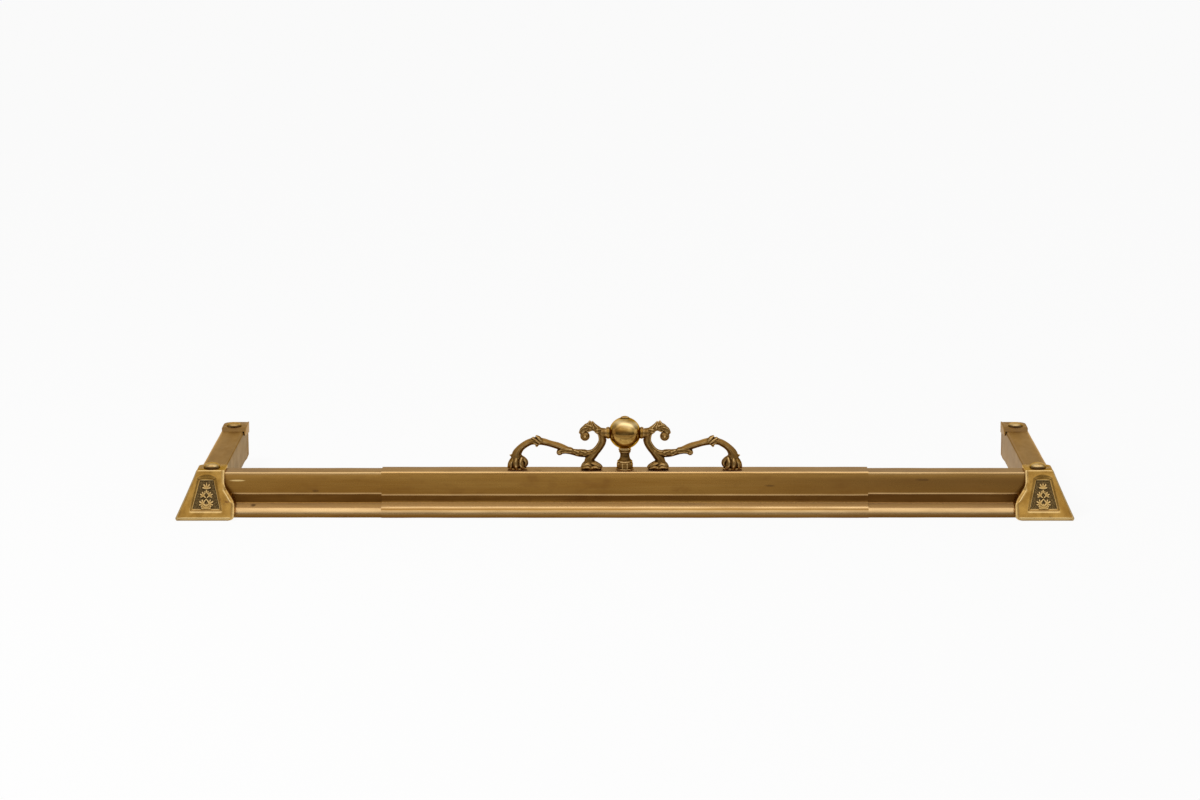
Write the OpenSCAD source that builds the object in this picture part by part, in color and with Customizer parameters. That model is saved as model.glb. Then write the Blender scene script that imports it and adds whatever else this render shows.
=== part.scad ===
// Extending brass fire fender.
// A centre sleeve of pressed sheet overlaps two end sections. Each end section is a front rail and
// a side arm of the same section, mitred under a cast corner, and it slides along X in the sleeve.
// X runs along the front, +Y points to the chimney breast and +Z is up. The origin lies on the
// hearth, in the middle of the width and of the depth.

/* [Overall] */
// Width over the corner feet, as the fender stands part extended
fender_w = 1251; // [880:1:1370]
// Depth from the front of the corner feet to the rear end of the arms
fender_d = 372; // [260:1:460]
// Length of the centre sleeve
sleeve_l = 680; // [500:1:700]

/* [Sheet section] */
// Height of the rail ledge above the hearth
ledge_h = 62.5; // [60:0.5:75]
// Depth of the section, from fascia to back flange
section_d = 34; // [32:0.5:42]
// Thickness of the brass sheet
sheet_t = 1.2; // [0.8:0.1:1.4]
// Clearance between the sleeve and the rails, all round
slide_gap = 0.4; // [0.3:0.05:0.5]
// Height of the sheet's lower edge above the hearth
floor_gap = 1; // [0.5:0.1:1.5]
// How far the plinth stands out from the fascia
plinth_out = 14.3; // [13:0.1:16]
// Height of the centre of the plinth's quarter round
roll_z = 4.2; // [4:0.1:5]
// Radius of the cove above the quarter round
cove_r = 2.7; // [2.2:0.1:4]
// Height of the recess between the cove and the fascia
recess_h = 10.8; // [6:0.1:13]
// How far the recess steps in behind the fascia
step_in = 2.2; // [1:0.1:3]
// Height of the fillet under the quarter round
fillet_h = 2; // [1:0.1:2.4]
// Radius of the front edge of the ledge
edge_r = 1.8; // [1.6:0.1:3]
// Radius of the shoulder at the back of the ledge
shoulder_r = 4; // [2.5:0.5:6]
// Height of the lower edge of the back flange
flange_z = 17; // [10:0.5:25]
// Width of the lip that the sleeve turns in under the rails
turn_in = 6; // [3:0.5:12]

/* [Corner casting] */
// Width of the top of the corner, square in plan
corner_top_w = 39.6; // [38.5:0.1:48]
// How far the top of the corner stands out from the fascia
corner_top_out = 2.6; // [1.5:0.1:5]
// Thickness of the plate that lies on the ledges
cap_t = 3.9; // [2.5:0.1:6]
// Thickness of the corner's walls
wall_t = 4.2; // [3.5:0.1:6]
// Space between the plinth and the corner's wall at the hearth
foot_clear = 11.8; // [8:0.1:16]
// How far the inner edge of the corner sweeps out at the foot
foot_sweep = 14.9; // [8:0.1:20]
// Radius of the inner corner of the foot
foot_r = 8; // [3:0.5:12]
// Width of the sunk panel at its foot
panel_foot_w = 43; // [30:0.5:48]
// Width of the sunk panel at its head
panel_head_w = 21; // [12:0.5:26]
// Height of the foot of the panel
panel_z0 = 14; // [10:0.5:20]
// Height at which the panel's arched head springs
panel_z1 = 52.5; // [40:0.5:54]
// Depth of the sunk panel
panel_depth = 2.4; // [1:0.1:3]

/* [Fixings] */
// Diameter of the domed nuts on the corners
knob_d = 23.2; // [16:0.1:28]
// Height of the domed nuts on the corners
knob_h = 7; // [5:0.1:9]
// Diameter of the domed nuts on the rear ends
end_knob_d = 21.5; // [16:0.1:26]
// Diameter of the studs and of the long bolt
stud_d = 6; // [5:0.5:8]
// Thickness of the steel angle plate under each mitre
bracket_t = 2.5; // [1.5:0.5:4]
// Length of each leg of the angle plate
bracket_l = 65; // [45:1:80]

/* [Rear end cap] */
// Length of the plate on top of the arm
end_plate_l = 44; // [44:1:80]
// How far the plate's thin nose runs on in front of it
end_nose_l = 12; // [6:1:15]
// Thickness of the wall that closes the arm
end_wall_t = 4; // [3:0.5:6]
// How far the cap stands out beyond the section
end_lip = 0.5; // [0.3:0.1:2.5]
// Thickness of the cheek outside the arm's back flange
end_cheek_t = 1.7; // [1.2:0.1:4]
// Length of the cheek
end_cheek_l = 60; // [50:1:90]

/* [Crest] */
// Radius of the ball
ball_r = 22.6; // [18:0.1:26]
// Thickness of the ball's shell
ball_wall = 1.5; // [1:0.1:3]
// Height of the stem, from the ledge to the rim of its cup
stem_h = 30.7; // [26:0.1:40]
// Radius of the stem's cup
cup_r = 8.9; // [7:0.1:12]
// Radius of the stem's neck
neck_r = 6.5; // [5.5:0.1:7]
// Width of the stem's ten-sided foot
stem_foot_w = 23; // [20:0.5:26]
// Diameter of the button on the ball
button_d = 11.6; // [9:0.1:14]
// Diameter of the collars beside the ball
collar_d = 17; // [13:0.1:20]
// Length of a collar outside the ball
collar_l = 5.2; // [5:0.1:10]
// Depth of the scroll castings, front to back, as a share of their branch width
scroll_depth = 0.9; // [0.6:0.05:1.1]
// Diameter of the crest screws
screw_d = 4; // [3:0.5:5]
// How far the crest screws reach into the scroll feet
screw_reach = 6; // [4:0.5:8]

/* [Slides] */
// Gap between a corner foot and the sleeve when the fender is closed
closed_gap = 2.5; // [1:0.1:6]
// Distance of a rail's end from the middle when the fender is closed
end_clear = 9; // [8:0.5:20]

/* [Hidden] */
$fn = 72;

// Colours of the old brass and of the steel under it
sheet_brass = [0.52, 0.38, 0.18];
cast_brass = [0.68, 0.50, 0.22];
dark_brass = [0.40, 0.29, 0.15];
polished_brass = [0.78, 0.60, 0.30];
steel = [0.45, 0.45, 0.46];

// Places that follow from the sizes above
foot_out = plinth_out + foot_clear + wall_t;
arm_x = fender_w / 2 - foot_out;
front_y = foot_out - fender_d / 2;
rear_y = fender_d / 2;
corner_h = ledge_h + cap_t;
corner_top_in = corner_top_w - corner_top_out;
sleeve_top = ledge_h + slide_gap + sheet_t;
ledge_mid = section_d / 2;
foot_inner_x = arm_x - corner_top_in - foot_sweep;
slide_in = foot_inner_x - sleeve_l / 2 - closed_gap;
rail_end_x = slide_in + end_clear;
crest_y = front_y + ledge_mid;
ball_rise = stem_h + sqrt(pow(ball_r, 2) - pow(cup_r, 2));
ball_z = sleeve_top + ball_rise;

// Small clearances and steps that are the same everywhere
cut = 1;                // how far a cutting body runs past the face that it cuts
hole_gap = 0.3;         // radial clearance of a stud in a plain hole
thread_gap = 0.1;       // radial clearance that stands for a thread
seat_gap = 0.05;        // clearance of a turned face on the ball
sheet_clear = 0.3;      // clearance of a casting around the sheet section
mitre_gap = 0.3;        // open joint of the mitre between rail and arm

// ---------------------------------------------------------------- the sheet section

function arc(centre, r, from, to, n) =
    [for (i = [0:n]) centre + r * [cos(from + (to - from) * i / n), sin(from + (to - from) * i / n)]];

// Front of the section's outer face, from the lower edge up to the front edge of the ledge. The first
// coordinate is the distance behind the fascia, the second is the height.
roll_r = plinth_out + step_in - cove_r;
roll_centre = [roll_r - plinth_out, roll_z];
cove_centre = roll_centre + [0, roll_r + cove_r];
fillet_back = 0.5;      // the fillet lies this far behind the front of the quarter round
fillet_step = 0.25;     // height of the step between the two
foot_z = floor_gap + fillet_h;
roll_start = 180 + asin((roll_z - foot_z - fillet_step) / roll_r);
fascia_z = cove_centre[1] + recess_h;
front_path = concat(
    [[fillet_back - plinth_out, floor_gap], [fillet_back - plinth_out, foot_z]],
    arc(roll_centre, roll_r, roll_start, 90, 16),
    arc(cove_centre, cove_r, -80, 0, 6),
    [[step_in, fascia_z], [0, fascia_z]],
    arc([edge_r, ledge_h - edge_r], edge_r, 180, 90, 5)
);
back_path = concat(
    arc([section_d - shoulder_r, ledge_h - shoulder_r], shoulder_r, 90, 0, 6),
    [[section_d, flange_z]]
);
section_path = concat(front_path, back_path);
sleeve_path = concat(section_path, [[section_d - turn_in, flange_z]]);

function left_normal(a, b) = [a[1] - b[1], b[0] - a[0]] / norm(b - a);

// The path moved sideways by d, to its left, with mitred corners
function moved_path(path, d) =
    let (last = len(path) - 1)
    [for (i = [0:last])
        let (
            before = left_normal(path[max(i - 1, 0)], path[max(i, 1)]),
            after = left_normal(path[min(i, last - 1)], path[min(i + 1, last)])
        )
        path[i] + d * (before + after) / (1 + before * after)];

function reversed(list) = [for (i = [len(list) - 1:-1:0]) list[i]];

module sheet_outline(path, outer) {
    polygon(concat(moved_path(path, outer), reversed(moved_path(path, outer - sheet_t))));
}

// Draws a section along X, from x0 to x1, behind the front fascia
module along_x(x0, x1)
    translate([x0, front_y, 0]) rotate([90, 0, 90]) linear_extrude(x1 - x0) children();

// Draws a section along Y, from y0 to y1, behind the left fascia
module along_y(y0, y1)
    translate([-arm_x, y1, 0]) rotate([90, 0, 0]) linear_extrude(y1 - y0) children();

// Puts children at a distance behind both fascias of the left corner
module at_corner(behind = 0)
    translate([-arm_x + behind, front_y + behind, 0]) children();

// Everything beyond the mitre plane of the left corner, from offset on
module mitre_block(offset) {
    reach = 3 * section_d;
    at_corner() rotate([0, 0, 45]) translate([-reach, offset, -cut])
        cube([2 * reach, reach, ledge_h + 2 * cut]);
}

module rail() {
    color(sheet_brass) difference() {
        along_x(-arm_x - plinth_out - cut, -rail_end_x) sheet_outline(section_path, 0);
        mitre_block(-mitre_gap / 2);
        at_corner(ledge_mid) stud_hole();
    }
}

module arm() {
    color(sheet_brass) difference() {
        along_y(front_y - plinth_out - cut, rear_y - end_wall_t) sheet_outline(section_path, 0);
        mitre_block(mitre_gap / 2 - 3 * section_d);
        at_corner(ledge_mid) stud_hole();
        at_end_stud() stud_hole();
    }
}

module centre_sleeve() {
    color(sheet_brass) difference() {
        along_x(-sleeve_l / 2, sleeve_l / 2) sheet_outline(sleeve_path, slide_gap + sheet_t);
        translate([0, crest_y, 0]) stud_hole();
        for (x = screw_places) translate([x, crest_y, sleeve_top - sheet_t]) screw_sink();
    }
}

// ---------------------------------------------------------------- corner casting

corner_steps = 16;
flare_power = 1.06;     // above 1 the outer edges are slightly hollow
sweep_top = 50;         // height at which the inner edge begins to sweep out
sweep_foot = 18;        // height at which the sweep is complete

function smooth(t) = let (u = max(0, min(1, t))) u * u * (3 - 2 * u);

// How far the outer and the inner edge of the corner lie from the fascia at height z
function outer_edge(z) =
    -corner_top_out - (foot_out - corner_top_out) * pow(max(0, 1 - z / corner_h), flare_power);
function inner_edge(z) =
    corner_top_in + foot_sweep * smooth((sweep_top - z) / (sweep_top - sweep_foot))
    - (z < foot_r ? foot_r - sqrt(pow(foot_r, 2) - pow(foot_r - z, 2)) : 0);

module corner_outline(inset, top) {
    heights = [for (i = [0:corner_steps]) top * i / corner_steps];
    polygon(concat(
        [for (z = heights) [outer_edge(z) + inset, z]],
        [for (z = reversed(heights)) [inner_edge(z) - inset, z]]
    ));
}

// The corner's full mass up to a height, its four sides moved in by inset
module corner_mass(inset, top) {
    reach = foot_out + cut;
    far = corner_top_in + foot_sweep + cut;
    intersection() {
        along_x(-arm_x - reach, -arm_x + far) corner_outline(inset, top);
        along_y(front_y - reach, front_y + far) corner_outline(inset, top);
    }
}

// All that lies inside the sheet section on both sides of the mitre
module inside_sheet() {
    far = corner_top_in + foot_sweep + 2 * cut;
    face = moved_path(concat(front_path, [[section_d, ledge_h]]), sheet_clear);
    outline = concat(
        [[far, -cut], [face[0][0], -cut]],
        [for (p = face) if (p[0] < section_d - cut) [p[0], min(p[1], ledge_h)]],
        [[far, ledge_h]]
    );
    intersection() {
        along_x(-arm_x - foot_out, -arm_x + far) polygon(outline);
        along_y(front_y - foot_out, front_y + far) polygon(outline);
    }
}

panel_arch = 3.5;       // rise of the arched head of the panel
panel_middle = (corner_top_in - corner_top_out) / 2 - 5.2;

module panel_outline() {
    half_foot = panel_foot_w / 2;
    half_head = panel_head_w / 2;
    translate([panel_middle, 0]) polygon(concat(
        [[-half_foot, panel_z0], [half_foot, panel_z0]],
        [for (i = [0:8]) [half_head * cos(22.5 * i), panel_z1 + panel_arch * sin(22.5 * i)]]
    ));
}

// The sunk panels of the front and of the outer face
module panels() {
    difference() {
        union() {
            along_y(front_y - foot_out - cut, front_y - corner_top_out) panel_outline();
            along_x(-arm_x - foot_out - cut, -arm_x - corner_top_out) panel_outline();
        }
        corner_mass(panel_depth, corner_h);
    }
}

// A raised ornament in each panel: a shell of lobes, two curls and a bud, each [across, height, radius]
ornament = concat(
    [for (a = [-70:35:70]) [7.5 * sin(a), 19 + 6 * cos(a), 2.7]],
    [[-4, 34, 2.6], [4, 34, 2.6], [0, 30, 2], [0, 41, 2.3], [0, 45, 1.6]]
);

module ornaments() {
    for (lobe = ornament) {
        depth = outer_edge(lobe[1]) + panel_depth + lobe[2] * 0.35;
        at_corner() {
            translate([panel_middle + lobe[0], depth, lobe[1]]) sphere(lobe[2], $fn = 24);
            translate([depth, panel_middle + lobe[0], lobe[1]]) sphere(lobe[2], $fn = 24);
        }
    }
}

module corner() {
    color(cast_brass) difference() {
        union() {
            difference() {
                corner_mass(0, corner_h);
                corner_mass(wall_t, ledge_h);
                panels();
            }
            ornaments();
        }
        inside_sheet();
        translate([0, 0, -cut]) at_corner() linear_extrude(cut) square(8 * section_d, center = true);
        at_corner(ledge_mid) stud_hole();
    }
}

bracket_inset = 3;      // clearance of the angle plate from the inside of the fascia
bracket_w = section_d - shoulder_r - 2 * bracket_inset;

module corner_bracket() {
    z = ledge_h - sheet_t - bracket_t;
    color(steel) difference() {
        at_corner(bracket_inset) translate([0, 0, z]) union() {
            cube([bracket_l, bracket_w, bracket_t]);
            cube([bracket_w, bracket_l, bracket_t]);
        }
        at_corner(ledge_mid) stud_hole();
    }
}

// ---------------------------------------------------------------- studs, nuts and domed nuts

nut_h = 5;
nut_w = 10;             // across the flats
washer_t = 1.5;
washer_d = 13;
stud_tail = 1.5;        // stud below the nut
knob_rim = 1.3;         // straight rim of a domed nut
knob_floor = 1.8;       // brass above the blind bore of a domed nut

module stud_hole()
    translate([0, 0, -cut]) cylinder(r = stud_d / 2 + hole_gap, h = 2 * corner_h);

// A domed nut with a blind bore, standing on z = 0
module domed_nut(d, h) {
    rise = h - knob_rim;
    dome_r = (pow(rise, 2) + pow(d / 2, 2)) / (2 * rise);
    color(polished_brass) difference() {
        intersection() {
            cylinder(d = d, h = h);
            translate([0, 0, h - dome_r]) sphere(dome_r);
        }
        translate([0, 0, -cut]) cylinder(r = stud_d / 2 + thread_gap, h = h - knob_floor + cut);
    }
}

module stud(z0, z1)
    color(steel) translate([0, 0, z0]) cylinder(d = stud_d, h = z1 - z0);

module washer(top)
    color(steel) translate([0, 0, top - washer_t]) difference() {
        cylinder(d = washer_d, h = washer_t);
        translate([0, 0, -cut]) cylinder(r = stud_d / 2 + hole_gap, h = washer_t + 2 * cut);
    }

module nut(top)
    color(steel) translate([0, 0, top - nut_h]) difference() {
        cylinder(d = nut_w / cos(30), h = nut_h, $fn = 6);
        translate([0, 0, -cut]) cylinder(r = stud_d / 2 + thread_gap, h = nut_h + 2 * cut);
    }

corner_clamp_z = ledge_h - sheet_t - bracket_t;
end_clamp_z = ledge_h - sheet_t;
stud_top_gap = 0.3;     // the stud ends this far below the bottom of the blind bore

module corner_knob() at_corner(ledge_mid) translate([0, 0, corner_h]) domed_nut(knob_d, knob_h);
module corner_stud() at_corner(ledge_mid)
    stud(corner_clamp_z - washer_t - nut_h - stud_tail, corner_h + knob_h - knob_floor - stud_top_gap);
module corner_washer() at_corner(ledge_mid) washer(corner_clamp_z);
module corner_nut() at_corner(ledge_mid) nut(corner_clamp_z - washer_t);

// ---------------------------------------------------------------- rear end cap

end_stud_in = 32.5;     // distance of the rear stud from the end of the arm
end_knob_h = 5.6;
end_plate_r = 2.5;      // radius of the plate's corners
end_nose_t = 0.4;       // thickness of the tip of the plate's nose
end_round_r = 14;       // radius of its outer rear corner
end_cheek_z = [51, 57]; // height of the cheek's lower edge at the rear and at the front
end_cheek_rise = 1;     // how far the cheek's rear end stands above the plate
end_foot_in = 20;       // the rear wall stands on the hearth from the plinth to here

module at_end_stud() translate([-arm_x + ledge_mid, rear_y - end_stud_in, 0]) children();

// The plate on the arm, from its rear edge forward, with a nose that slopes down to the ledge
module end_plate() {
    x0 = -end_lip;
    x1 = section_d + sheet_clear + end_cheek_t;
    r = end_plate_r;
    hull() {
        linear_extrude(cap_t) polygon(concat(
            arc([x1 - r, -r], r, 0, 90, 6),
            arc([x0 + end_round_r, -end_round_r], end_round_r, 90, 180, 8),
            arc([x0 + r, r - end_plate_l], r, 180, 270, 6),
            arc([x1 - r, r - end_plate_l], r, 270, 360, 6)
        ));
        translate([x0, -end_plate_l - end_nose_l, 0]) cube([x1 - x0, end_nose_l, end_nose_t]);
    }
}

// The cheek that hangs down outside the back flange, tapering forward
module end_cheek()
    along_x(-arm_x + section_d + sheet_clear, -arm_x + section_d + sheet_clear + end_cheek_t)
        translate([rear_y - front_y, 0]) polygon([
            [-end_cheek_l, end_cheek_z[1]], [-end_cheek_l, ledge_h - cut], [-end_plate_l, corner_h - cut],
            [-end_cheek_l / 3, corner_h + end_cheek_rise], [-end_plate_r, corner_h + end_cheek_rise],
            [-end_plate_r, end_cheek_z[0]],
        ]);

module end_cap() {
    face = moved_path(section_path, end_lip);
    wall = concat(
        [[face[0][0], 0]],
        [for (p = face) [p[0], min(p[1], ledge_h)]],
        [[section_d - 2, flange_z - 6], [end_foot_in + 6, 3], [end_foot_in, 0]]
    );
    color(cast_brass) difference() {
        union() {
            along_y(rear_y - end_wall_t, rear_y) polygon(wall);
            translate([-arm_x, rear_y, ledge_h]) end_plate();
            end_cheek();
        }
        at_end_stud() stud_hole();
    }
}

module end_knob() at_end_stud() translate([0, 0, corner_h]) domed_nut(end_knob_d, end_knob_h);
module end_stud() at_end_stud()
    stud(end_clamp_z - washer_t - nut_h - stud_tail, corner_h + end_knob_h - knob_floor - stud_top_gap);
module end_washer() at_end_stud() washer(end_clamp_z);
module end_nut() at_end_stud() nut(end_clamp_z - washer_t);

// ---------------------------------------------------------------- ball, stem and long bolt

foot_sides = 10;
foot_disc_h = 1.5;
foot_disc_d = stem_foot_w + 1.5;
foot_block_h = 9.5;

module finial_stem() {
    // Radius and height of the turned part, from the foot block up to the rim of the cup
    turned = [
        [stem_foot_w / 2 - 0.6, foot_block_h],
        [stem_foot_w / 2 - 0.8, foot_block_h + 1.6],
        [stem_foot_w / 2 - 2.6, foot_block_h + 3.8],
        [neck_r + 1, stem_h * 0.53],
        [neck_r, stem_h * 0.61],
        [neck_r, stem_h * 0.68],
        [neck_r + 0.8, stem_h * 0.80],
        [cup_r - 0.4, stem_h * 0.88],
        [cup_r, stem_h * 0.92],
        [cup_r, stem_h + 2],
    ];
    color(dark_brass) translate([0, crest_y, sleeve_top]) difference() {
        union() {
            cylinder(d = foot_disc_d, h = foot_disc_h);
            cylinder(d = stem_foot_w, h = foot_block_h, $fn = foot_sides);
            rotate_extrude() polygon(concat([[0, foot_block_h]], turned, [[0, stem_h + 2]]));
        }
        translate([0, 0, ball_rise]) sphere(ball_r + seat_gap);
        translate([0, 0, -cut]) cylinder(r = stud_d / 2 + hole_gap, h = stem_h + 2 * cut);
    }
}

module finial_ball() {
    color(polished_brass) translate([0, crest_y, ball_z]) difference() {
        sphere(ball_r);
        sphere(ball_r - ball_wall);
        cylinder(r = stud_d / 2 + hole_gap, h = 3 * ball_r, center = true);
        rotate([0, 90, 0]) cylinder(r = spigot_d / 2 + thread_gap, h = 3 * ball_r, center = true);
    }
}

button_h = 2.2;         // height of the button above its seat on the ball

// The long bolt: a button for a head, a shank down through ball, stem and ledge
module finial_bolt() {
    seat = ball_z + sqrt(pow(ball_r, 2) - pow(button_d / 2, 2));
    tail = sleeve_top - sheet_t - washer_t - nut_h - stud_tail;
    dome_r = (pow(button_h, 2) + pow(button_d / 2, 2)) / (2 * button_h);
    color(polished_brass) translate([0, crest_y, 0]) difference() {
        union() {
            translate([0, 0, tail]) cylinder(d = stud_d, h = seat - tail + button_h / 2);
            intersection() {
                translate([0, 0, seat - button_h]) cylinder(d = button_d, h = 2 * button_h);
                translate([0, 0, seat + button_h - dome_r]) sphere(dome_r);
            }
        }
        difference() {
            translate([0, 0, ball_z]) sphere(ball_r + seat_gap);
            translate([0, 0, tail]) cylinder(d = stud_d, h = seat - tail + button_h);
        }
    }
}

module finial_washer() translate([0, crest_y, 0]) washer(sleeve_top - sheet_t);
module finial_nut() translate([0, crest_y, 0]) nut(sleeve_top - sheet_t - washer_t);

// ---------------------------------------------------------------- collars and scrolls

spigot_d = 6;           // the spigot of a scroll runs through its collar into the ball
collar_start = sqrt(pow(ball_r, 2) - pow(collar_d / 2, 2));
collar_end = collar_start + collar_l;
spigot_end = ball_r - ball_wall - 1;

// A ring with a round edge, turned about X on the left of the ball
module collar() {
    color(dark_brass) translate([0, crest_y, ball_z]) difference() {
        rotate([0, -90, 0]) rotate_extrude() polygon(concat(
            [[0, collar_start - 2], [collar_d / 2 - 1, collar_start - 2]],
            [for (i = [0:8]) [collar_d / 2 - 1 + sin(22.5 * i), collar_start + collar_l * i / 8]],
            [[0, collar_end]]
        ));
        sphere(ball_r + seat_gap);
        rotate([0, 90, 0]) cylinder(r = spigot_d / 2 + thread_gap, h = 3 * ball_r, center = true);
    }
}

function catmull(p, i, t) =
    let (
        last = len(p) - 1,
        a = p[max(i - 1, 0)],
        b = p[i],
        c = p[i + 1],
        d = p[min(i + 2, last)]
    )
    (2 * b + (c - a) * t + (2 * a - 5 * b + 4 * c - d) * t * t + (3 * b - a - 3 * c + d) * t * t * t) / 2;

// A smooth run of points through p, with n steps between two of them
function smooth_run(p, n) = concat(
    [for (i = [0:len(p) - 2]) for (j = [0:n - 1]) catmull(p, i, j / n)],
    [p[len(p) - 1]]
);

// The branches of the left scroll, each point [out from the collar, up from the ledge, width].
// The heights are those of a scroll whose spigot is spigot_rise above the ledge.
spigot_rise = 51.5;
curl_branch = [
    [29.8, 46.8, 13.2], [32.6, 52.4, 9.6], [30.4, 56.2, 9.8], [26.4, 58.6, 10], [20.2, 60, 10.2],
    [14.2, 58.4, 9.6], [9, 54.6, 10], [5.6, 49, 10.8], [5, 43.2, 10.6], [5.6, 38.6, 10.4],
    [7.8, 33.9, 10.4], [11.3, 28.9, 10.4], [16.2, 23.6, 11.6], [20.6, 18.6, 12.6],
];
tail_branch = [
    [17, 22.6, 10], [26, 21.6, 10], [36.6, 22.4, 9.6], [47, 24.4, 8.4], [59, 29.6, 9.2],
    [67.3, 33, 9.2], [78.5, 36.4, 8.6], [90, 39.4, 9.4], [99.6, 40.4, 10.2], [109.4, 37.2, 8.8],
    [115.6, 33.3, 8.9], [120.9, 28.4, 9.9], [124.4, 22, 12.4], [124.6, 16.4, 15],
];
// Leaf tips, buds and the neck of the inner foot, each a run of points of the same kind
leaves = [
    [[16, 61, 8], [18.4, 66.6, 3]],
    [[22, 61, 9], [22.6, 68, 2.4]],
    [[56, 27, 10.6], [65, 23.8, 8.2]],
    [[90, 41.4, 8], [96.2, 44.8, 6]],
    [[96.4, 37, 7], [96.8, 34.2, 5.6]],
    [[127, 20.6, 8], [133, 19.8, 3.6]],
    [[20.6, 18.6, 12.6], [23.4, 14, 12.4], [23.6, 10, 12.6]],
];
foot_out_inner = 20.5;  // middle of the inner foot, out from the collar
foot_out_outer = 124.2; // middle of the outer foot
inner_foot = [29.4, 17, 9, 13, 23.4];   // width, depth and height, then width and place of its top
outer_foot = [28, 17, 12, 15, 124.5];
rise_scale = ball_rise / spigot_rise;
screw_places = [for (side = [-1, 1]) for (x = [foot_out_inner, foot_out_outer]) side * (collar_end + x)];

module knuckle(p)
    translate([-p[0], 0, p[1] * rise_scale]) scale([1, scroll_depth, 1]) sphere(d = p[2], $fn = 14);

module branch(points, n) {
    run = smooth_run(points, n);
    for (i = [0:len(run) - 2]) hull() {
        knuckle(run[i]);
        knuckle(run[i + 1]);
    }
}

// A leafy mound that flattens onto the ledge
module foot(out, size) hull() {
    translate([-out, 0, 0]) scale([size[0] / 2, size[1] / 2, 1]) cylinder(r = 1, h = 3.4, $fn = 24);
    translate([-size[4], 0, size[2]]) scale([size[3] / 2, size[3] / 2 * scroll_depth, 1])
        cylinder(r = 1, h = 1, $fn = 24);
}

module scroll() {
    boss_w = 13;
    boss_l = 7;
    color(dark_brass) translate([-collar_end, crest_y, sleeve_top]) difference() {
        union() {
            difference() {
                union() {
                    branch(curl_branch, 2);
                    branch(tail_branch, 2);
                }
                translate([0, 0, ball_rise]) rotate([0, 90, 0])
                    cylinder(r = collar_d / 2 + sheet_clear, h = collar_end);
            }
            for (leaf = leaves) branch(leaf, 1);
            foot(foot_out_inner, inner_foot);
            foot(foot_out_outer, outer_foot);
            translate([0, 0, ball_rise]) {
                rotate([0, -90, 0]) cylinder(d = boss_w, h = boss_l, $fn = 24);
                rotate([0, 90, 0]) cylinder(d = spigot_d, h = collar_end - spigot_end, $fn = 24);
            }
        }
        for (x = [foot_out_inner, foot_out_outer])
            translate([-x, 0, -cut]) cylinder(r = screw_d / 2 + thread_gap, h = screw_reach + 1 + cut);
        translate([-200, -50, -20]) cube([400, 100, 20]);
    }
}

screw_head = 4;         // the head is wider than the shank by this

module screw_sink() {
    r = screw_d / 2 + hole_gap;
    translate([0, 0, -0.01]) cylinder(r1 = r + screw_head / 2, r2 = r, h = sheet_t + 0.01);
    cylinder(r = r, h = sheet_t + cut);
}

module crest_screws()
    for (x = screw_places) color(steel) translate([x, crest_y, sleeve_top - sheet_t]) {
        cylinder(r1 = (screw_d + screw_head) / 2, r2 = screw_d / 2, h = sheet_t);
        cylinder(d = screw_d, h = sheet_t + screw_reach);
    }

// ---------------------------------------------------------------- nodes

module right() mirror([1, 0, 0]) children();

centre_sleeve();
finial_stem();
finial_ball();
finial_bolt();
finial_washer();
finial_nut();
collar();  // left_collar
right() collar();  // right_collar
scroll();  // left_scroll
right() scroll();  // right_scroll
crest_screws();
rail();  // left_rail
arm();  // left_arm
corner();  // left_corner
corner_bracket();  // left_corner_bracket
corner_knob();  // left_corner_knob
corner_stud();  // left_corner_stud
corner_washer();  // left_corner_washer
corner_nut();  // left_corner_nut
end_cap();  // left_end_cap
end_knob();  // left_end_knob
end_stud();  // left_end_stud
end_washer();  // left_end_washer
end_nut();  // left_end_nut
right() rail();  // right_rail
right() arm();  // right_arm
right() corner();  // right_corner
right() corner_bracket();  // right_corner_bracket
right() corner_knob();  // right_corner_knob
right() corner_stud();  // right_corner_stud
right() corner_washer();  // right_corner_washer
right() corner_nut();  // right_corner_nut
right() end_cap();  // right_end_cap
right() end_knob();  // right_end_knob
right() end_stud();  // right_end_stud
right() end_washer();  // right_end_washer
right() end_nut();  // right_end_nut
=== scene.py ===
"""The looks of an extending brass fire fender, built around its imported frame.

Shapes are worked out in millimetres, in the frame's own axes, and become metres when a mesh is made.
X runs along the front, +Y points to the chimney breast and +Z is up.
"""

import math

import bmesh
import bpy
import numpy as np
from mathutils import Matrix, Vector


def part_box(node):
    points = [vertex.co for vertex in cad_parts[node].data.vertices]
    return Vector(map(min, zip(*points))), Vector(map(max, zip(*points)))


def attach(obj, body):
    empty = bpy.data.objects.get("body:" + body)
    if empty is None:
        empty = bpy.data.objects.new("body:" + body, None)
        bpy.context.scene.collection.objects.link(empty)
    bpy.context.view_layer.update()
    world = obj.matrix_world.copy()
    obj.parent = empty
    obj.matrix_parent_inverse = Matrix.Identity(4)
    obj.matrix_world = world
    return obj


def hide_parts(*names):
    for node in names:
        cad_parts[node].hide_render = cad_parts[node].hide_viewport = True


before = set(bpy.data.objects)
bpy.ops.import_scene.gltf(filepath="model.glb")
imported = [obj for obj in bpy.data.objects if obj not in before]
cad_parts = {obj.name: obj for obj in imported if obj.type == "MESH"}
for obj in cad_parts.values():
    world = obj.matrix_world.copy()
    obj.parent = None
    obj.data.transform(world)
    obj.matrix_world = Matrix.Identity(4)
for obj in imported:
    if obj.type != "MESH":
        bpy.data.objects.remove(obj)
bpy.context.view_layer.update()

MM = 0.001


# ---------------------------------------------------------------- sizes, from the frame and the section


def box_mm(node):
    """The lowest and the highest corner of a node."""
    low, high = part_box(node)
    return np.array(low) / MM, np.array(high) / MM


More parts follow.
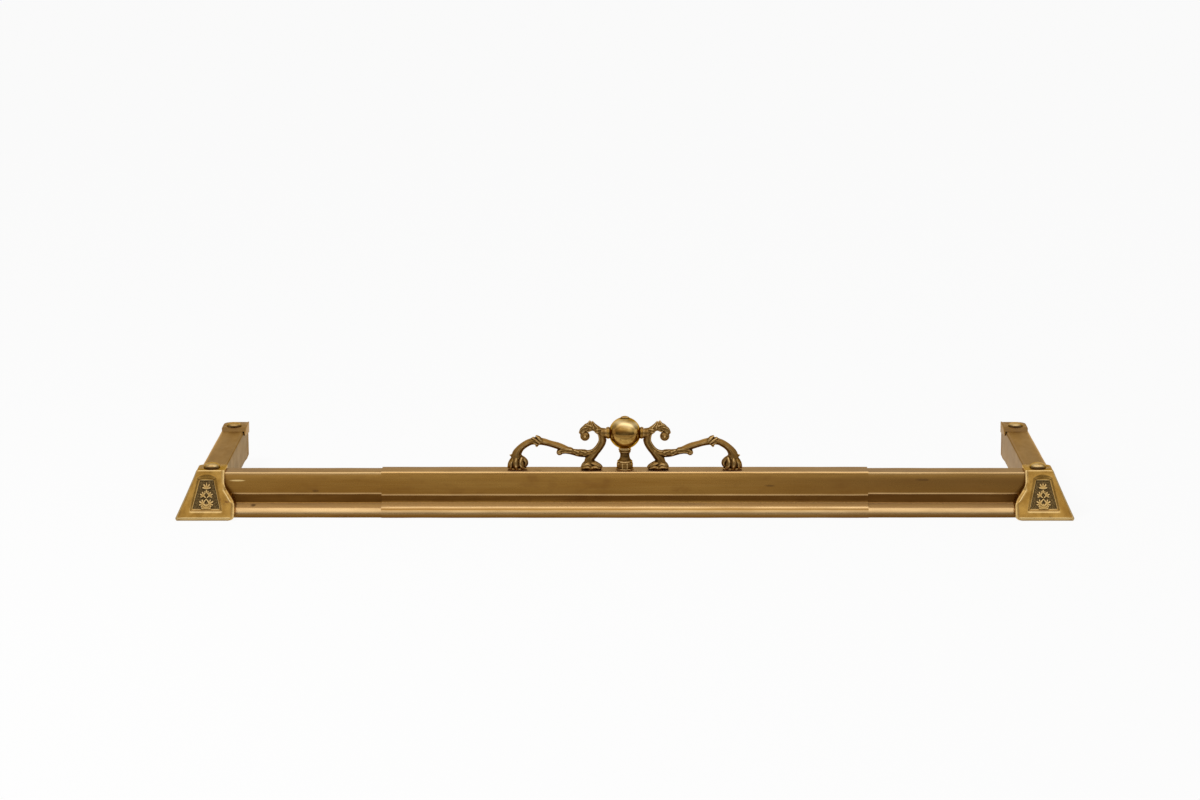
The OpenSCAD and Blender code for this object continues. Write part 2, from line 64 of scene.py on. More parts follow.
rail_low, rail_high = box_mm("left_rail")
arm_high = box_mm("left_arm")[1]
sleeve_high = box_mm("centre_sleeve")[1]
corner_low, corner_high = box_mm("left_corner")
cap_high = box_mm("left_end_cap")[1]
knob_low, knob_high = box_mm("left_corner_knob")
end_knob_low, end_knob_high = box_mm("left_end_knob")
ball_low, ball_high = box_mm("finial_ball")
bolt_low, bolt_high = box_mm("finial_bolt")
stem_low, stem_high = box_mm("finial_stem")
collar_low, collar_high = box_mm("left_collar")

# The sheet section, as in the part
SECTION_D = 34.0
SHEET_T = 1.2
SLIDE_GAP = 0.4
FLOOR_GAP = 1.0
ROLL_Z = 4.2
COVE_R = 2.7
RECESS_H = 10.8
STEP_IN = 2.2
FILLET_H = 2.0
FILLET_STEP = 0.25
FILLET_BACK = 0.5
EDGE_R = 1.8
SHOULDER_R = 4.0
FLANGE_Z = 17.0
TURN_IN = 6.0
MITRE_GAP = 0.3

ledge_h = rail_high[2]
front_y = rail_high[1] - SECTION_D
plinth_out = front_y - rail_low[1]
arm_x = SECTION_D - arm_high[0]
rail_end_x = rail_high[0]
arm_end_y = arm_high[1]
sleeve_half = sleeve_high[0]
sleeve_top = sleeve_high[2]
rear_y = cap_high[1]
ledge_mid = SECTION_D / 2
crest_y = front_y + ledge_mid
ball_r = (ball_high[0] - ball_low[0]) / 2
ball_z = (ball_high[2] + ball_low[2]) / 2
foot_out = -arm_x - corner_low[0]
corner_h = corner_high[2]
collar_r = (collar_high[2] - collar_low[2]) / 2
collar_end = -collar_low[0]


# ---------------------------------------------------------------- outlines


def smooth_step(t):
    t = np.clip(t, 0, 1)
    return t * t * (3 - 2 * t)


def arc(centre, radius, start, end, steps):
    """Points on an arc, from one angle in degrees to another."""
    angle = np.radians(np.linspace(start, end, steps + 1))
    return np.column_stack([centre[0] + radius * np.cos(angle), centre[1] + radius * np.sin(angle)])


def moved_path(path, distance, closed=False):
    """The path moved sideways to its left, with mitred corners."""
    before = path - np.roll(path, 1, axis=0)
    after = np.roll(path, -1, axis=0) - path
    if not closed:
        before[0] = after[0]
        after[-1] = before[-1]
    left = [np.column_stack([-d[:, 1], d[:, 0]]) / np.linalg.norm(d, axis=1)[:, None]
            for d in (before, after)]
    spread = 1 + np.sum(left[0] * left[1], axis=1)
    return path + distance * (left[0] + left[1]) / spread[:, None]


def softened(loop, radius, sharp=25):
    """A closed loop with each corner sharper than an angle rounded off."""
    out = []
    count = len(loop)
    for i in range(count):
        before, here, after = loop[i - 1], loop[i], loop[(i + 1) % count]
        inward = before - here
        onward = after - here
        lengths = np.linalg.norm(inward), np.linalg.norm(onward)
        cosine = np.dot(inward, onward) / (lengths[0] * lengths[1])
        turn = 180 - math.degrees(math.acos(max(-1, min(1, cosine))))
        if turn < sharp:
            out.append(here)
            continue
        reach = min(radius * math.tan(math.radians(turn / 2)), 0.45 * min(lengths))
        start = here + inward / lengths[0] * reach
        end = here + onward / lengths[1] * reach
        for t in np.linspace(0, 1, 5):
            out.append((1 - t) ** 2 * start + 2 * t * (1 - t) * here + t**2 * end)
    return np.array(out)


def divided(loop, longest):
    """A closed loop whose long edges are split."""
    out = []
    for here, after in zip(loop, np.roll(loop, -1, axis=0)):
        parts = max(1, math.ceil(np.linalg.norm(after - here) / longest))
        out += [here + (after - here) * k / parts for k in range(parts)]
    return np.array(out)


roll_r = plinth_out + STEP_IN - COVE_R
roll_centre = np.array([roll_r - plinth_out, ROLL_Z])
cove_centre = roll_centre + [0, roll_r + COVE_R]
foot_z = FLOOR_GAP + FILLET_H
roll_start = 180 + math.degrees(math.asin((ROLL_Z - foot_z - FILLET_STEP) / roll_r))
fascia_z = cove_centre[1] + RECESS_H
section_path = np.vstack([
    [[FILLET_BACK - plinth_out, FLOOR_GAP], [FILLET_BACK - plinth_out, foot_z]],
    arc(roll_centre, roll_r, roll_start, 90, 32),
    arc(cove_centre, COVE_R, -80, 0, 10),
    [[STEP_IN, fascia_z], [0, fascia_z]],
    arc([EDGE_R, ledge_h - EDGE_R], EDGE_R, 180, 90, 8),
    arc([SECTION_D - SHOULDER_R, ledge_h - SHOULDER_R], SHOULDER_R, 90, 0, 10),
    [[SECTION_D, FLANGE_Z]],
])
sleeve_path = np.vstack([section_path, [[SECTION_D - TURN_IN, FLANGE_Z]]])


def sheet_loop(path, outside):
    """The closed outline of the pressed sheet, [behind the fascia, height]."""
    outer = moved_path(path, outside)
    inner = moved_path(path, outside - SHEET_T)
    return divided(softened(np.vstack([outer, inner[::-1]]), 0.5), 2.5)


# ---------------------------------------------------------------- meshes


def build(name, points, faces, sharp=35):
    """A mesh object from points in millimetres, with its faces turned outwards."""
    mesh = bpy.data.meshes.new(name)
    mesh.from_pydata((np.asarray(points) * MM).tolist(), [], faces)
    work = bmesh.new()
    work.from_mesh(mesh)
    bmesh.ops.recalc_face_normals(work, faces=work.faces)
    work.to_mesh(mesh)
    work.free()
    mesh.shade_smooth()
    if sharp:
        mesh.set_sharp_from_angle(angle=math.radians(sharp))
    piece = bpy.data.objects.new(name, mesh)
    bpy.context.scene.collection.objects.link(piece)
    return piece


def ring_faces(rows, columns):
    """Quads between rings of points that lie one after another."""
    quads = []
    for i in range(rows - 1):
        low = i * columns
        for j in range(columns):
            k = (j + 1) % columns
            quads.append((low + j, low + k, low + columns + k, low + columns + j))
    return quads


def loft(name, rings, sharp=35):
    """A closed tube through rings of points, with a flat face at each end."""
    rings = np.asarray(rings)
    rows, columns = rings.shape[:2]
    faces = ring_faces(rows, columns)
    faces.append(tuple(range(columns)))
    faces.append(tuple(range((rows - 1) * columns, rows * columns)))
    return build(name, rings.reshape(-1, 3), faces, sharp)


def lathe(name, profile, steps=96, sharp=30, axis="z", origin=(0, 0, 0)):
    """A closed solid of revolution from a closed profile of [radius, along] points."""
    profile = np.asarray(profile, float)
    angle = np.linspace(0, 2 * math.pi, steps, endpoint=False)
    on_axis = np.isclose(profile[:, 0], 0)
    points = []
    rows = []
    for (radius, along), single in zip(profile, on_axis):
        rows.append((len(points), single))
        for a in angle[:1] if single else angle:
            points.append((radius * math.cos(a), radius * math.sin(a), along))
    faces = []
    ends = range(len(rows)) if not on_axis.any() else range(len(rows) - 1)
    for i in ends:
        (here, one), (there, other) = rows[i], rows[(i + 1) % len(rows)]
        for j in range(steps):
            k = (j + 1) % steps
            face = [here + (0 if one else j)]
            if not one:
                face.append(here + k)
            face.append(there + (0 if other else k))
            if not other:
                face.append(there + j)
            if len(face) > 2:
                faces.append(tuple(face))
    points = np.array(points)
    if axis == "x":
        points = points[:, [2, 0, 1]]
    return build(name, points + np.asarray(origin), faces, sharp)


def values_of(parts, name, kind=np.float32, width=3):
    """One property of all vertices or edges of a mesh, a row for each."""
    out = np.empty(len(parts) * width, kind)
    parts.foreach_get(name, out)
    return out.reshape(-1, width)


def mirrored(piece, name):
    """A copy of a left piece for the right side."""
    mesh = piece.data.copy()
    mesh.name = name
    points = values_of(mesh.vertices, "co")
    points[:, 0] *= -1
    mesh.vertices.foreach_set("co", points.ravel())
    mesh.flip_normals()
    mesh.update()
    copy = bpy.data.objects.new(name, mesh)
    bpy.context.scene.collection.objects.link(copy)
    return copy


def applied(piece):
    """Bakes a piece's modifiers into its mesh."""
    bpy.context.view_layer.update()
    graph = bpy.context.evaluated_depsgraph_get()
    mesh = bpy.data.meshes.new_from_object(piece.evaluated_get(graph))
    old = piece.data
    piece.modifiers.clear()
    piece.data = mesh
    bpy.data.meshes.remove(old)
    return piece


def combined(piece, other, operation):
    """Adds a solid to a piece or cuts it away."""
    modifier = piece.modifiers.new("join", "BOOLEAN")
    modifier.operation = operation
    modifier.solver = "EXACT"
    modifier.object = other
    applied(piece)
    bpy.data.objects.remove(other)
    return piece


def coordinates_of(mesh):
    return values_of(mesh.vertices, "co").astype(float) / MM


def set_coordinates(mesh, points):
    mesh.vertices.foreach_set("co", (points * MM).astype(np.float32).ravel())
    mesh.update()


def store(piece, name, values):
    """Stores a number at each vertex."""
    attribute = piece.data.attributes.new(name, "FLOAT", "POINT")
    attribute.data.foreach_set("value", values.astype(np.float32))


def mark(piece, **marks):
    """Stores numbers from 0 to 1 at each vertex, under the names that the materials read."""
    for name, values in marks.items():
        store(piece, name, np.clip(values, 0, 1))


def averaged(values, edges, passes):
    """Values at the vertices, blurred over the mesh's edges."""
    count = np.zeros(len(values))
    np.add.at(count, edges[:, 0], 1)
    np.add.at(count, edges[:, 1], 1)
    count = np.maximum(count, 1)
    if values.ndim > 1:
        count = count[:, None]
    for _ in range(passes):
        total = np.zeros_like(values)
        np.add.at(total, edges[:, 0], values[edges[:, 1]])
        np.add.at(total, edges[:, 1], values[edges[:, 0]])
        values = (values + total / count) / 2
    return values


def mark_ridges(piece, passes, height):
    """Marks how far each vertex stands out from its blurred surroundings, as "ridge" around 0.5."""
    mesh = piece.data
    points = coordinates_of(mesh)
    edges = values_of(mesh.edges, "vertices", np.int32, 2)
    normals = values_of(mesh.vertex_normals, "vector")
    stands_out = np.sum((points - averaged(points, edges, passes)) * normals, axis=1)
    mark(piece, ridge=0.5 + averaged(stands_out, edges, 2) / (2 * height))


# ---------------------------------------------------------------- rails, arms and sleeve


def wobble(along, behind, height, seed):
    """The slight unevenness of pressed sheet: how far a point moves backwards and upwards."""
    back = (0.05 * np.sin(along / 13.1 + height / 17 + seed)
            + 0.05 * np.sin(along / 21.7 - height / 9 + 2 * seed))
    up = (0.05 * np.sin(along / 17.3 + behind / 15 + 3 * seed)
          + 0.03 * np.sin(along / 9.7 - behind / 11 + seed))
    return back, up


UPPER_FACE_Z = 50.0     # the fascia gets painted light above this height and painted shade below it


def mark_sheet(piece, behind, height, outside):
    """Marks worn edges with painted highlight lines, painted shade, the roll top's flat finish and painted
    sheen, the fascia's painted light and shade, and the dull back flange.
    """
    # edge, drip and nose: worn places, with painted highlight lines on the ledge's front edge, the drip edge
    # and the roll's nose
    edge = np.exp(-(((behind - 0.6 + outside) ** 2 + (height - ledge_h + 0.4 - outside) ** 2) / 1.6**2))
    drip = np.exp(-(((behind + outside) ** 2 + (height - fascia_z + outside - 0.3) ** 2) / 0.8**2))
    nose_top = 14.8 + 1.6 * outside
    nose = smooth_step((height - 4.6) / 4.0) * smooth_step((nose_top - height) / 2.0)
    nose *= smooth_step((-behind - 4) / 4)
    # on the sleeve, a painted dark gap splits the nose's painted highlight in two
    if outside:
        nose *= 1 - np.exp(-(((height - 12.9) / 1.5) ** 2))
    # the roll top: a flat, half-metallic finish, whose paler colour is a painted sheen
    around = (height - ROLL_Z) / (roll_r + outside)
    matt = smooth_step((around - 0.70) / 0.16) * smooth_step((1.05 - around) / 0.05)
    front = smooth_step((3 - behind) / 2)
    # recess, foot and under: painted shade below the fascia, at the foot by the hearth and under the ledge
    # inside
    recess = smooth_step((height - 18.6 - outside) / 1.6)
    recess *= smooth_step((fascia_z - outside - height + 0.1) / 0.4)
    foot = smooth_step((6.5 - height) / 3.5) * smooth_step((8 - behind) / 4)
    under = smooth_step((behind - 3) / 3) * smooth_step((ledge_h - 1.0 - height) / 0.3)
    inside = smooth_step((SECTION_D + outside - 0.3 - behind) / 0.4)
    below_ledge = inside * smooth_step((ledge_h - height) / 1.0)
    # low is painted shade on the lower fascia, high is painted light on the upper fascia
    mark(
        piece,
        wear=0.9 * edge + 0.8 * drip + 0.9 * nose,
        matt=matt * front,
        low=smooth_step((UPPER_FACE_Z - height) / 20) * smooth_step((height - fascia_z) / 0.5),
        high=smooth_step((height - UPPER_FACE_Z - outside) / 11) * front,
        grime=0.9 * recess * smooth_step((4.5 - behind) / 1.5) + 0.6 * foot + under * inside,
        dull=smooth_step((behind - 30) / 3) * (1 - below_ledge),
    )


def sheet_piece(name, loop, first_ring, stations, seed, along_y=False, outside=0.0):
    """Draws the section's loop through a mitred first ring, if there is one, and square stations."""
    behind, height = loop[:, 0], loop[:, 1]
    rings = []
    places = ([first_ring] if first_ring is not None else []) + [np.full(len(loop), s) for s in stations]
    for place in places:
        back, up = wobble(place, behind, height, seed)
        if along_y:
            rings.append(np.column_stack([-arm_x + behind + back, place, height + up]))
        else:
            rings.append(np.column_stack([place, front_y + behind + back, height + up]))
    piece = loft(name, rings, sharp=30)
    mark_sheet(piece, np.tile(behind, len(rings)), np.tile(height, len(rings)), outside)
    return piece


STATION_STEP = 5.0


def stations_between(start, end):
    """Places along a piece, no further apart than a step."""
    return np.linspace(start, end, int(abs(end - start) / STATION_STEP) + 2)


def make_sheet_pieces():
    rail_loop = sheet_loop(section_path, 0)
    sleeve_loop = sheet_loop(sleeve_path, SLIDE_GAP + SHEET_T)
    mitre = -arm_x + rail_loop[:, 0] + MITRE_GAP / math.sqrt(2)
    square_x = -arm_x + SECTION_D + 2
    rail = sheet_piece("left_rail_sheet", rail_loop, mitre, stations_between(square_x, rail_end_x), 1.0)
    mitre_y = front_y + rail_loop[:, 0] + MITRE_GAP / math.sqrt(2)
    square_y = front_y + SECTION_D + 2
    arm = sheet_piece("left_arm_sheet", rail_loop, mitre_y, stations_between(square_y, arm_end_y), 2.3, True)
    sleeve = sheet_piece("sleeve_sheet", sleeve_loop, None, stations_between(-sleeve_half, sleeve_half), 4.1,
                         outside=SLIDE_GAP + SHEET_T)
    return {
        "left_rail": rail,
        "left_arm": arm,
        "right_rail": mirrored(rail, "right_rail_sheet"),
        "right_arm": mirrored(arm, "right_arm_sheet"),
        "centre_sleeve": sleeve,
    }


# ---------------------------------------------------------------- corner castings

CORNER_TOP_IN = 37.0    # inner edge of the corner's top, behind the fascia
CORNER_TOP_OUT = 2.6    # outer edge of the corner's top, in front of the fascia
FOOT_SWEEP = 14.9       # how far the inner edge sweeps out at the foot
FOOT_R = 8.0            # radius of the inner corner of the foot
FLARE_POWER = 1.06
SWEEP_TOP = 50.0
SWEEP_FOOT = 18.0
WALL_T = 4.2
BASE_RIM = 3.6          # height of the rim that stands on the hearth
BASE_TUCK = 1.3         # how far the rim draws in at the hearth
TOP_ROUND = 1.3
INNER_ROUND = 2.8       # rounding of the plate's two inner corners
REAR_ROUND = 7.0        # rounding of the plate's corner behind the outer face
WING_ROUND = 1.6        # rounding of the casting's edge beside its wing
WING_SLOPE = 0.45       # how steeply the wing falls back from its ridge
# The wing's ridge, as [height, behind]
WING_RIDGE = ((22.0, 51.3), (24.0, 46.6), (27.0, 43.4), (33.0, 39.6), (40.0, 35.0), (49.0, 37.0))
MITRE_ROUND = 1.7       # rounding of the edge between its two faces
SHEET_CLEAR = 0.35
PANEL_MIDDLE = 12.0


def outer_edge(z):
    """The casting's outer faces, as a distance behind the fascia."""
    rise = np.clip((z - BASE_RIM) / (corner_h - BASE_RIM), 0, 1)
    edge = -CORNER_TOP_OUT - (foot_out - CORNER_TOP_OUT) * (1 - rise) ** FLARE_POWER
    tuck = BASE_TUCK * np.clip(1 - z / BASE_RIM, 0, 1) ** 1.4
    return edge + tuck + top_round(z)


def top_round(z):
    """How far the edge of the top draws in at a height."""
    reach = np.clip(z - (corner_h - TOP_ROUND), 0, TOP_ROUND)
    return TOP_ROUND - np.sqrt(np.maximum(TOP_ROUND**2 - reach**2, 0))


def inner_edge(z):
    """The casting's edge beside the sheet, as a distance behind the fascia."""
    sweep = FOOT_SWEEP * smooth_step((SWEEP_TOP - z) / (SWEEP_TOP - SWEEP_FOOT))
    drop = np.clip(FOOT_R - z, 0, FOOT_R)
    return CORNER_TOP_IN + sweep - (FOOT_R - np.sqrt(FOOT_R**2 - drop**2)) - top_round(z)


def sheet_front(z):
    """How far the rail's face stands in front of the fascia at a height, with clearance."""
    if z <= ROLL_Z:
        front = plinth_out
    elif z <= ROLL_Z + roll_r:
        front = -roll_centre[0] + math.sqrt(roll_r**2 - (z - ROLL_Z) ** 2)
    elif z <= cove_centre[1]:
        front = -cove_centre[0] - math.sqrt(max(0, COVE_R**2 - (cove_centre[1] - z) ** 2))
    elif z <= fascia_z:
        front = -STEP_IN
    else:
        front = 0
    return front + SHEET_CLEAR


PANEL_FLOOR = ((14.6, 19.6), (52.8, 9.8))      # [height, half width] at foot and head of the floor
PANEL_RIM = ((11.6, 23.4), (55.3, 13.4))       # the same for the rim of the dished border
RIM_ARCH = 5.0
RIM_ROUND = 3.4
DISH_DEPTH = 1.7
FLOOR_STEP = 1.3        # depth of the floor below the dished border
FLOOR_EDGE = 1.3        # width over which it drops to that depth
BEAD_H = 0.1            # height of the bead along the rim
PETAL_WIDEN = 1.28
PETAL_RAISE = 1.2
FAN_TAPER = 0.18        # how much shorter a fan's outermost petals are
RELIEF_H = 2.28         # height of the tallest petal


def half_width(ends, z):
    """Half the width of a trapezoid at a height."""
    (z0, w0), (z1, w1) = ends
    return w0 + (w1 - w0) * (z - z0) / (z1 - z0)


def rounded_min(a, b, radius):
    """The smaller of two distances from an edge, with the corner between the edges rounded."""
    corner = radius - np.hypot(radius - a, radius - b)
    return np.where((a < radius) & (b < radius), corner, np.minimum(a, b))


def petal(x0, z0, x1, z1, r0, r1, h):
    """A petal between two places, with its radius at each and its height."""
    return (x0, z0, x1, z1, PETAL_WIDEN * r0, PETAL_WIDEN * r1, PETAL_RAISE * h)


def fan(x, z, first, last, count, length, r0, r1, h):
    """A fan of petals around a point, between two angles from upright."""
    out = []
    for k in range(count):
        angle = math.radians(first + (last - first) * k / (count - 1))
        reach = length * (1 - FAN_TAPER * abs(2 * k / (count - 1) - 1))
        out.append(petal(x, z, x + reach * math.sin(angle), z + reach * math.cos(angle), r0, r1, h))
    return out


# The raised ornament, drawn for its right half: a shell, two pairs of leaves, a crossing and a bud
ORNAMENT = (
    fan(0, 15.6, -4, 84, 4, 6.6, 0.8, 1.35, 1.7)
    + fan(4.3, 22.0, -30, 150, 5, 5.2, 0.9, 1.3, 1.8)
    + [petal(1.2, 19.5, 4.4, 22.4, 1.1, 1.5, 1.9)]
    + [petal(3.9, 23.5, -1.8, 30.5, 0.9, 0.8, 1.9)]
    + fan(3.8, 32.2, -25, 110, 4, 4.8, 0.9, 1.25, 1.7)
    + [petal(1.2, 30.2, 4.2, 32.6, 0.9, 1.4, 1.8)]
    + [petal(0, 37.0, 0, 38.6, 1.5, 1.5, 1.9), petal(0, 38.4, 2.6, 37.6, 0.7, 0.8, 1.2)]
    + fan(0, 41.6, 0, 75, 3, 6.2, 1.1, 1.3, 1.8)
    + [petal(0, 46.4, 0, 49.4, 1.0, 0.7, 1.6)]
)


def ornament_height(x, z):
    """Height of the ornament above the panel's floor."""
    side = np.abs(x)
    height = np.zeros_like(side)
    for x0, z0, x1, z1, r0, r1, h in ORNAMENT:
        dx, dz = x1 - x0, z1 - z0
        t = np.clip(((side - x0) * dx + (z - z0) * dz) / (dx * dx + dz * dz), 0, 1)
        radius = r0 + (r1 - r0) * t
        away = np.hypot(side - x0 - t * dx, z - z0 - t * dz) / radius
        crease = 1 - 0.2 * np.exp(-((away / 0.25) ** 2))
        height = np.maximum(height, h * np.clip(1 - away**2, 0, 1) ** 0.7 * crease)
    return height


def panel_depth(x, z):
    """How deep the face lies at a place, with its share of floor, ornament and bead."""
    arch = PANEL_RIM[1][0] + RIM_ARCH * (1 - (x / PANEL_RIM[1][1]) ** 2)
    in_corner = rounded_min(half_width(PANEL_RIM, z) - np.abs(x), z - PANEL_RIM[0][0], RIM_ROUND)
    in_rim = np.minimum(in_corner, arch - z)
    in_floor = np.minimum(
        np.minimum(half_width(PANEL_FLOOR, z) - np.abs(x), z - PANEL_FLOOR[0][0]), PANEL_FLOOR[1][0] - z
    )
    share = np.clip(in_rim / np.maximum(in_rim - in_floor, 0.01), 0, 1)
    dish = DISH_DEPTH * np.where(in_floor > 0, 1, smooth_step(share * 1.15))
    floor = smooth_step(in_floor / FLOOR_EDGE)
    raised = ornament_height(x, z) * floor
    bead = np.exp(-(((in_rim + 0.8) / 0.8) ** 2))
    return dish + FLOOR_STEP * floor - raised + BEAD_H - BEAD_H * bead, floor, raised, bead


def side_edge(y, inn, out, radius):
    """The casting's side in plan at a place behind the fascia, rounded towards its face."""
    drop = np.clip(out + radius - y, 0, radius)
    return inn - radius + np.sqrt(np.maximum(radius**2 - drop**2, 0))


def half_chain(z, top_radius):
    """One level of one outer face, from the sheet's side to the middle of the mitre."""
    out, inn = float(outer_edge(z)), float(inner_edge(z))
    front = sheet_front(min(z, ledge_h - 0.01))
    radius = WING_ROUND + (top_radius - WING_ROUND) * float(smooth_step((z - 46) / 5))
    radius += 0.9 * float(smooth_step((22 - z) / 6))
    ridge = min(float(np.interp(z, *np.transpose(WING_RIDGE))), inn - radius - 0.3)
    drop = WING_SLOPE * (inn - radius - ridge - 0.3)
    base = out + drop
    if base + radius < -front:
        straight = np.linspace(-front, base + radius, 7)[:-1]
        bend = base + radius - radius * np.sin(np.radians(np.linspace(0, 90, 8)))
        y = np.concatenate([straight, bend])
    else:
        start = math.degrees(math.asin((base + radius + front) / radius))
        y = base + radius - radius * np.sin(np.radians(np.linspace(start, 90, 14)))
    side = np.column_stack([side_edge(y, inn, base, radius), y])
    wing_x = np.linspace(inn - radius, ridge + 0.2, 5)[1:]
    wing = np.column_stack([wing_x, out + WING_SLOPE * np.maximum(wing_x - ridge - 0.3, 0)])
    middle = PANEL_MIDDLE
    half = float(half_width(PANEL_RIM, z)) + 1.5
    across = np.concatenate([
        np.linspace(ridge, middle + half, 9)[:-1],
        np.linspace(middle + half, middle - half, 131),
        np.linspace(middle - half, out + MITRE_ROUND, 11)[1:-1],
    ])
    depth, floor, raised, bead = panel_depth(across - middle, np.full(len(across), z))
    uneven = 0.07 * (1 + np.sin(across / 4.1 + z / 5.3)) + 0.05 * (1 + np.sin(across / 2.3 - z / 7.7))
    face = np.column_stack([across, out + np.maximum(depth + uneven, 0)])
    mitre = arc([out + MITRE_ROUND, out + MITRE_ROUND], MITRE_ROUND, -90, -135, 3)
    chain = np.vstack([side, wing, face, mitre])
    # columns: panel floor, ornament height, painted shade, worn edges with painted highlight lines
    marks = np.zeros((len(chain), 4))
    # painted shade on the side beside the rail, deeper towards it
    marks[:len(side), 2] = smooth_step((side[:, 1] - base - 0.5 * radius) / 2.5)
    start = len(side) + len(wing)
    end = start + len(across)
    marks[start:end, 0] = floor
    marks[start:end, 1] = raised
    # painted highlight line along the side's rounded edge
    marks[:start, 3] = 0.8 * np.exp(-((np.minimum(chain[:start, 0] - inn + radius, 0) / 1.5) ** 2))
    # painted highlight lines along the panel's bead at its foot and along the wing's ridge
    foot_highlight_line = 0.7 * bead * (z < PANEL_RIM[0][0] + 0.6)
    marks[start:end, 3] = np.maximum(foot_highlight_line, 0.8 * np.exp(-(((across - ridge) / 1.2) ** 2)))
    # painted highlight line along the top edge
    top_highlight_line = 0.6 * smooth_step((z - corner_h + 2.4) / 1.0) * (z < corner_h - 0.1)
    marks[:, 3] = np.maximum(marks[:, 3], top_highlight_line)
    # painted shade along the mitre edge, and at the foot by the hearth
    marks[end:, 2] = 0.45
    marks[start:, 2] = np.maximum(marks[start:, 2], 0.5 * smooth_step((2.6 - z) / 1.6))
    return chain, marks


def corner_chain(z):
    """One level of the casting's outer faces, from the rail's side round to the arm's side."""
    first, first_marks = half_chain(z, INNER_ROUND)
    last, last_marks = half_chain(z, REAR_ROUND)
    return (np.vstack([first, last[::-1][1:][:, ::-1]]),
            np.vstack([first_marks, last_marks[::-1][1:]]))


def cavity_chain(z):
    """One level of the casting's inside, from the arm's side back to the rail's side."""
    out, inn = float(outer_edge(z)), float(inner_edge(z))
    front = sheet_front(min(z, ledge_h - 0.01))
    deep = min(out + WALL_T, -front - 0.15)
    wall = inn - WALL_T
    half = np.array([[wall, -front], [wall, deep], [deep, deep]])
    return np.vstack([half[:, ::-1], half[::-1][1:]])


def rear_chain(z):
    """One level of the plate's two inner sides, from the arm's side back to the rail's side."""
    inn, out = float(inner_edge(z)), float(outer_edge(z))
    middle = arc([inn - INNER_ROUND, inn - INNER_ROUND], INNER_ROUND, 90, 0, 6)
    behind = np.array([0.7, 1.8, 3.0, 4.4, 12, 20, 28])
    first = np.column_stack([side_edge(behind, inn, out, INNER_ROUND), behind])
    last = np.column_stack([behind, side_edge(behind, inn, out, REAR_ROUND)])
    return np.vstack([last, middle, first[::-1]])


def at_height(outline, z):
    """A level ring of points from an outline in plan."""
    return np.column_stack([outline, np.full(len(outline), z)])


def make_corner():
    """The hollow corner casting: walls up to the ledge, and a plate on top of it."""
    fine = np.arange(10.0, 61.7, 0.5)
    jump = [cove_centre[1] - 0.05, fascia_z - 0.05, fascia_z + 0.05]
    foot = np.concatenate([np.linspace(0, BASE_RIM, 6), np.linspace(BASE_RIM, 10, 8)])
    low = np.unique(np.concatenate([foot, fine, jump, [ledge_h]]))
    high = np.concatenate([np.linspace(ledge_h, corner_h - TOP_ROUND, 4)[1:],
                           corner_h - TOP_ROUND + TOP_ROUND * np.sin(np.radians([18, 36, 54, 72, 90]))])
    points, faces, marks = [], [], []
    for z in low:
        chain, chain_marks = corner_chain(z)
        inside = cavity_chain(z)
        ring = np.vstack([chain, inside])
        points.append(at_height(ring, z))
        marks.append(np.vstack([chain_marks, np.zeros((len(inside), 4))]))
    outer_count, ring_count = len(chain), len(ring)
    faces += ring_faces(len(low), ring_count)
    faces.append(tuple(range(ring_count)))
    last_low = (len(low) - 1) * ring_count
    total = len(low) * ring_count
    rear = rear_chain(ledge_h)
    points.append(at_height(rear, ledge_h))
    marks.append(np.zeros((len(rear), 4)))
    previous = list(range(last_low, last_low + outer_count)) + list(range(total, total + len(rear)))
    faces.append(tuple(list(range(total, total + len(rear))) + [last_low]
                       + list(range(last_low + ring_count - 1, last_low + outer_count - 2, -1))))
    total += len(rear)
    for z in high:
        chain, chain_marks = corner_chain(z)
        rear = rear_chain(z)
        ring = np.vstack([chain, rear])
        points.append(at_height(ring, z))
        marks.append(np.vstack([chain_marks, np.zeros((len(rear), 4))]))
        here = list(range(total, total + len(ring)))
        count = len(here)
        for j in range(count):
            k = (j + 1) % count
            faces.append((previous[j], previous[k], here[k], here[j]))
        previous = here
        total += count
    faces.append(tuple(previous))
    points = np.vstack(points) + [-arm_x, front_y, 0]
    marks = np.vstack(marks)
    piece = build("left_corner_casting", points, faces, sharp=40)
    # the third mark is painted shade, the fourth worn edges with painted highlight lines
    mark(piece, recess=marks[:, 0], relief=marks[:, 1] / RELIEF_H, grime=marks[:, 2], rubbed=marks[:, 3])
    mark_ridges(piece, 6, 0.12)
    return piece


def circle_ring(centre, radius, z, steps=48):
    """A level ring of points round a centre; the radius may differ from point to point."""
    angle = np.linspace(0, 2 * math.pi, steps, endpoint=False)
    x = centre[0] + radius * np.cos(angle)
    return np.column_stack([x, centre[1] + radius * np.sin(angle), np.full(steps, z)])


def drill(piece, y):
    """Cuts the hole for a stud through a piece's top, in the middle of the ledge."""
    rings = [circle_ring((-arm_x + ledge_mid, y), BORE_R, z) for z in (ledge_h - 5, corner_h + 5)]
    return combined(piece, loft("drill", rings), "DIFFERENCE")


# ---------------------------------------------------------------- rear end caps

END_LIP = 0.5
END_WALL_T = 4.0
END_PLATE_L = 44.0
END_PLATE_R = 2.5
END_NOSE_L = 12.0       # nose in front of the plate, which slopes down to a thin tip
END_NOSE_T = 0.15
END_NOSE_IN = 1.7       # how far its tip draws in beside the ledge's round edge
END_ROUND_R = 14.0      # rounding of the plate's outer rear corner
END_CHEEK_T = 1.7       # cheek outside the back flange, with its length, lower edge and rise above the plate
END_CHEEK_L = 60.0
END_CHEEK_Z = (51.0, 57.0)
END_CHEEK_RISE = 1.0
EDGE_SOFT = 0.3         # rounding of the wall's edges; a larger one makes its outline cross itself
PLATE_SOFT = 1.6


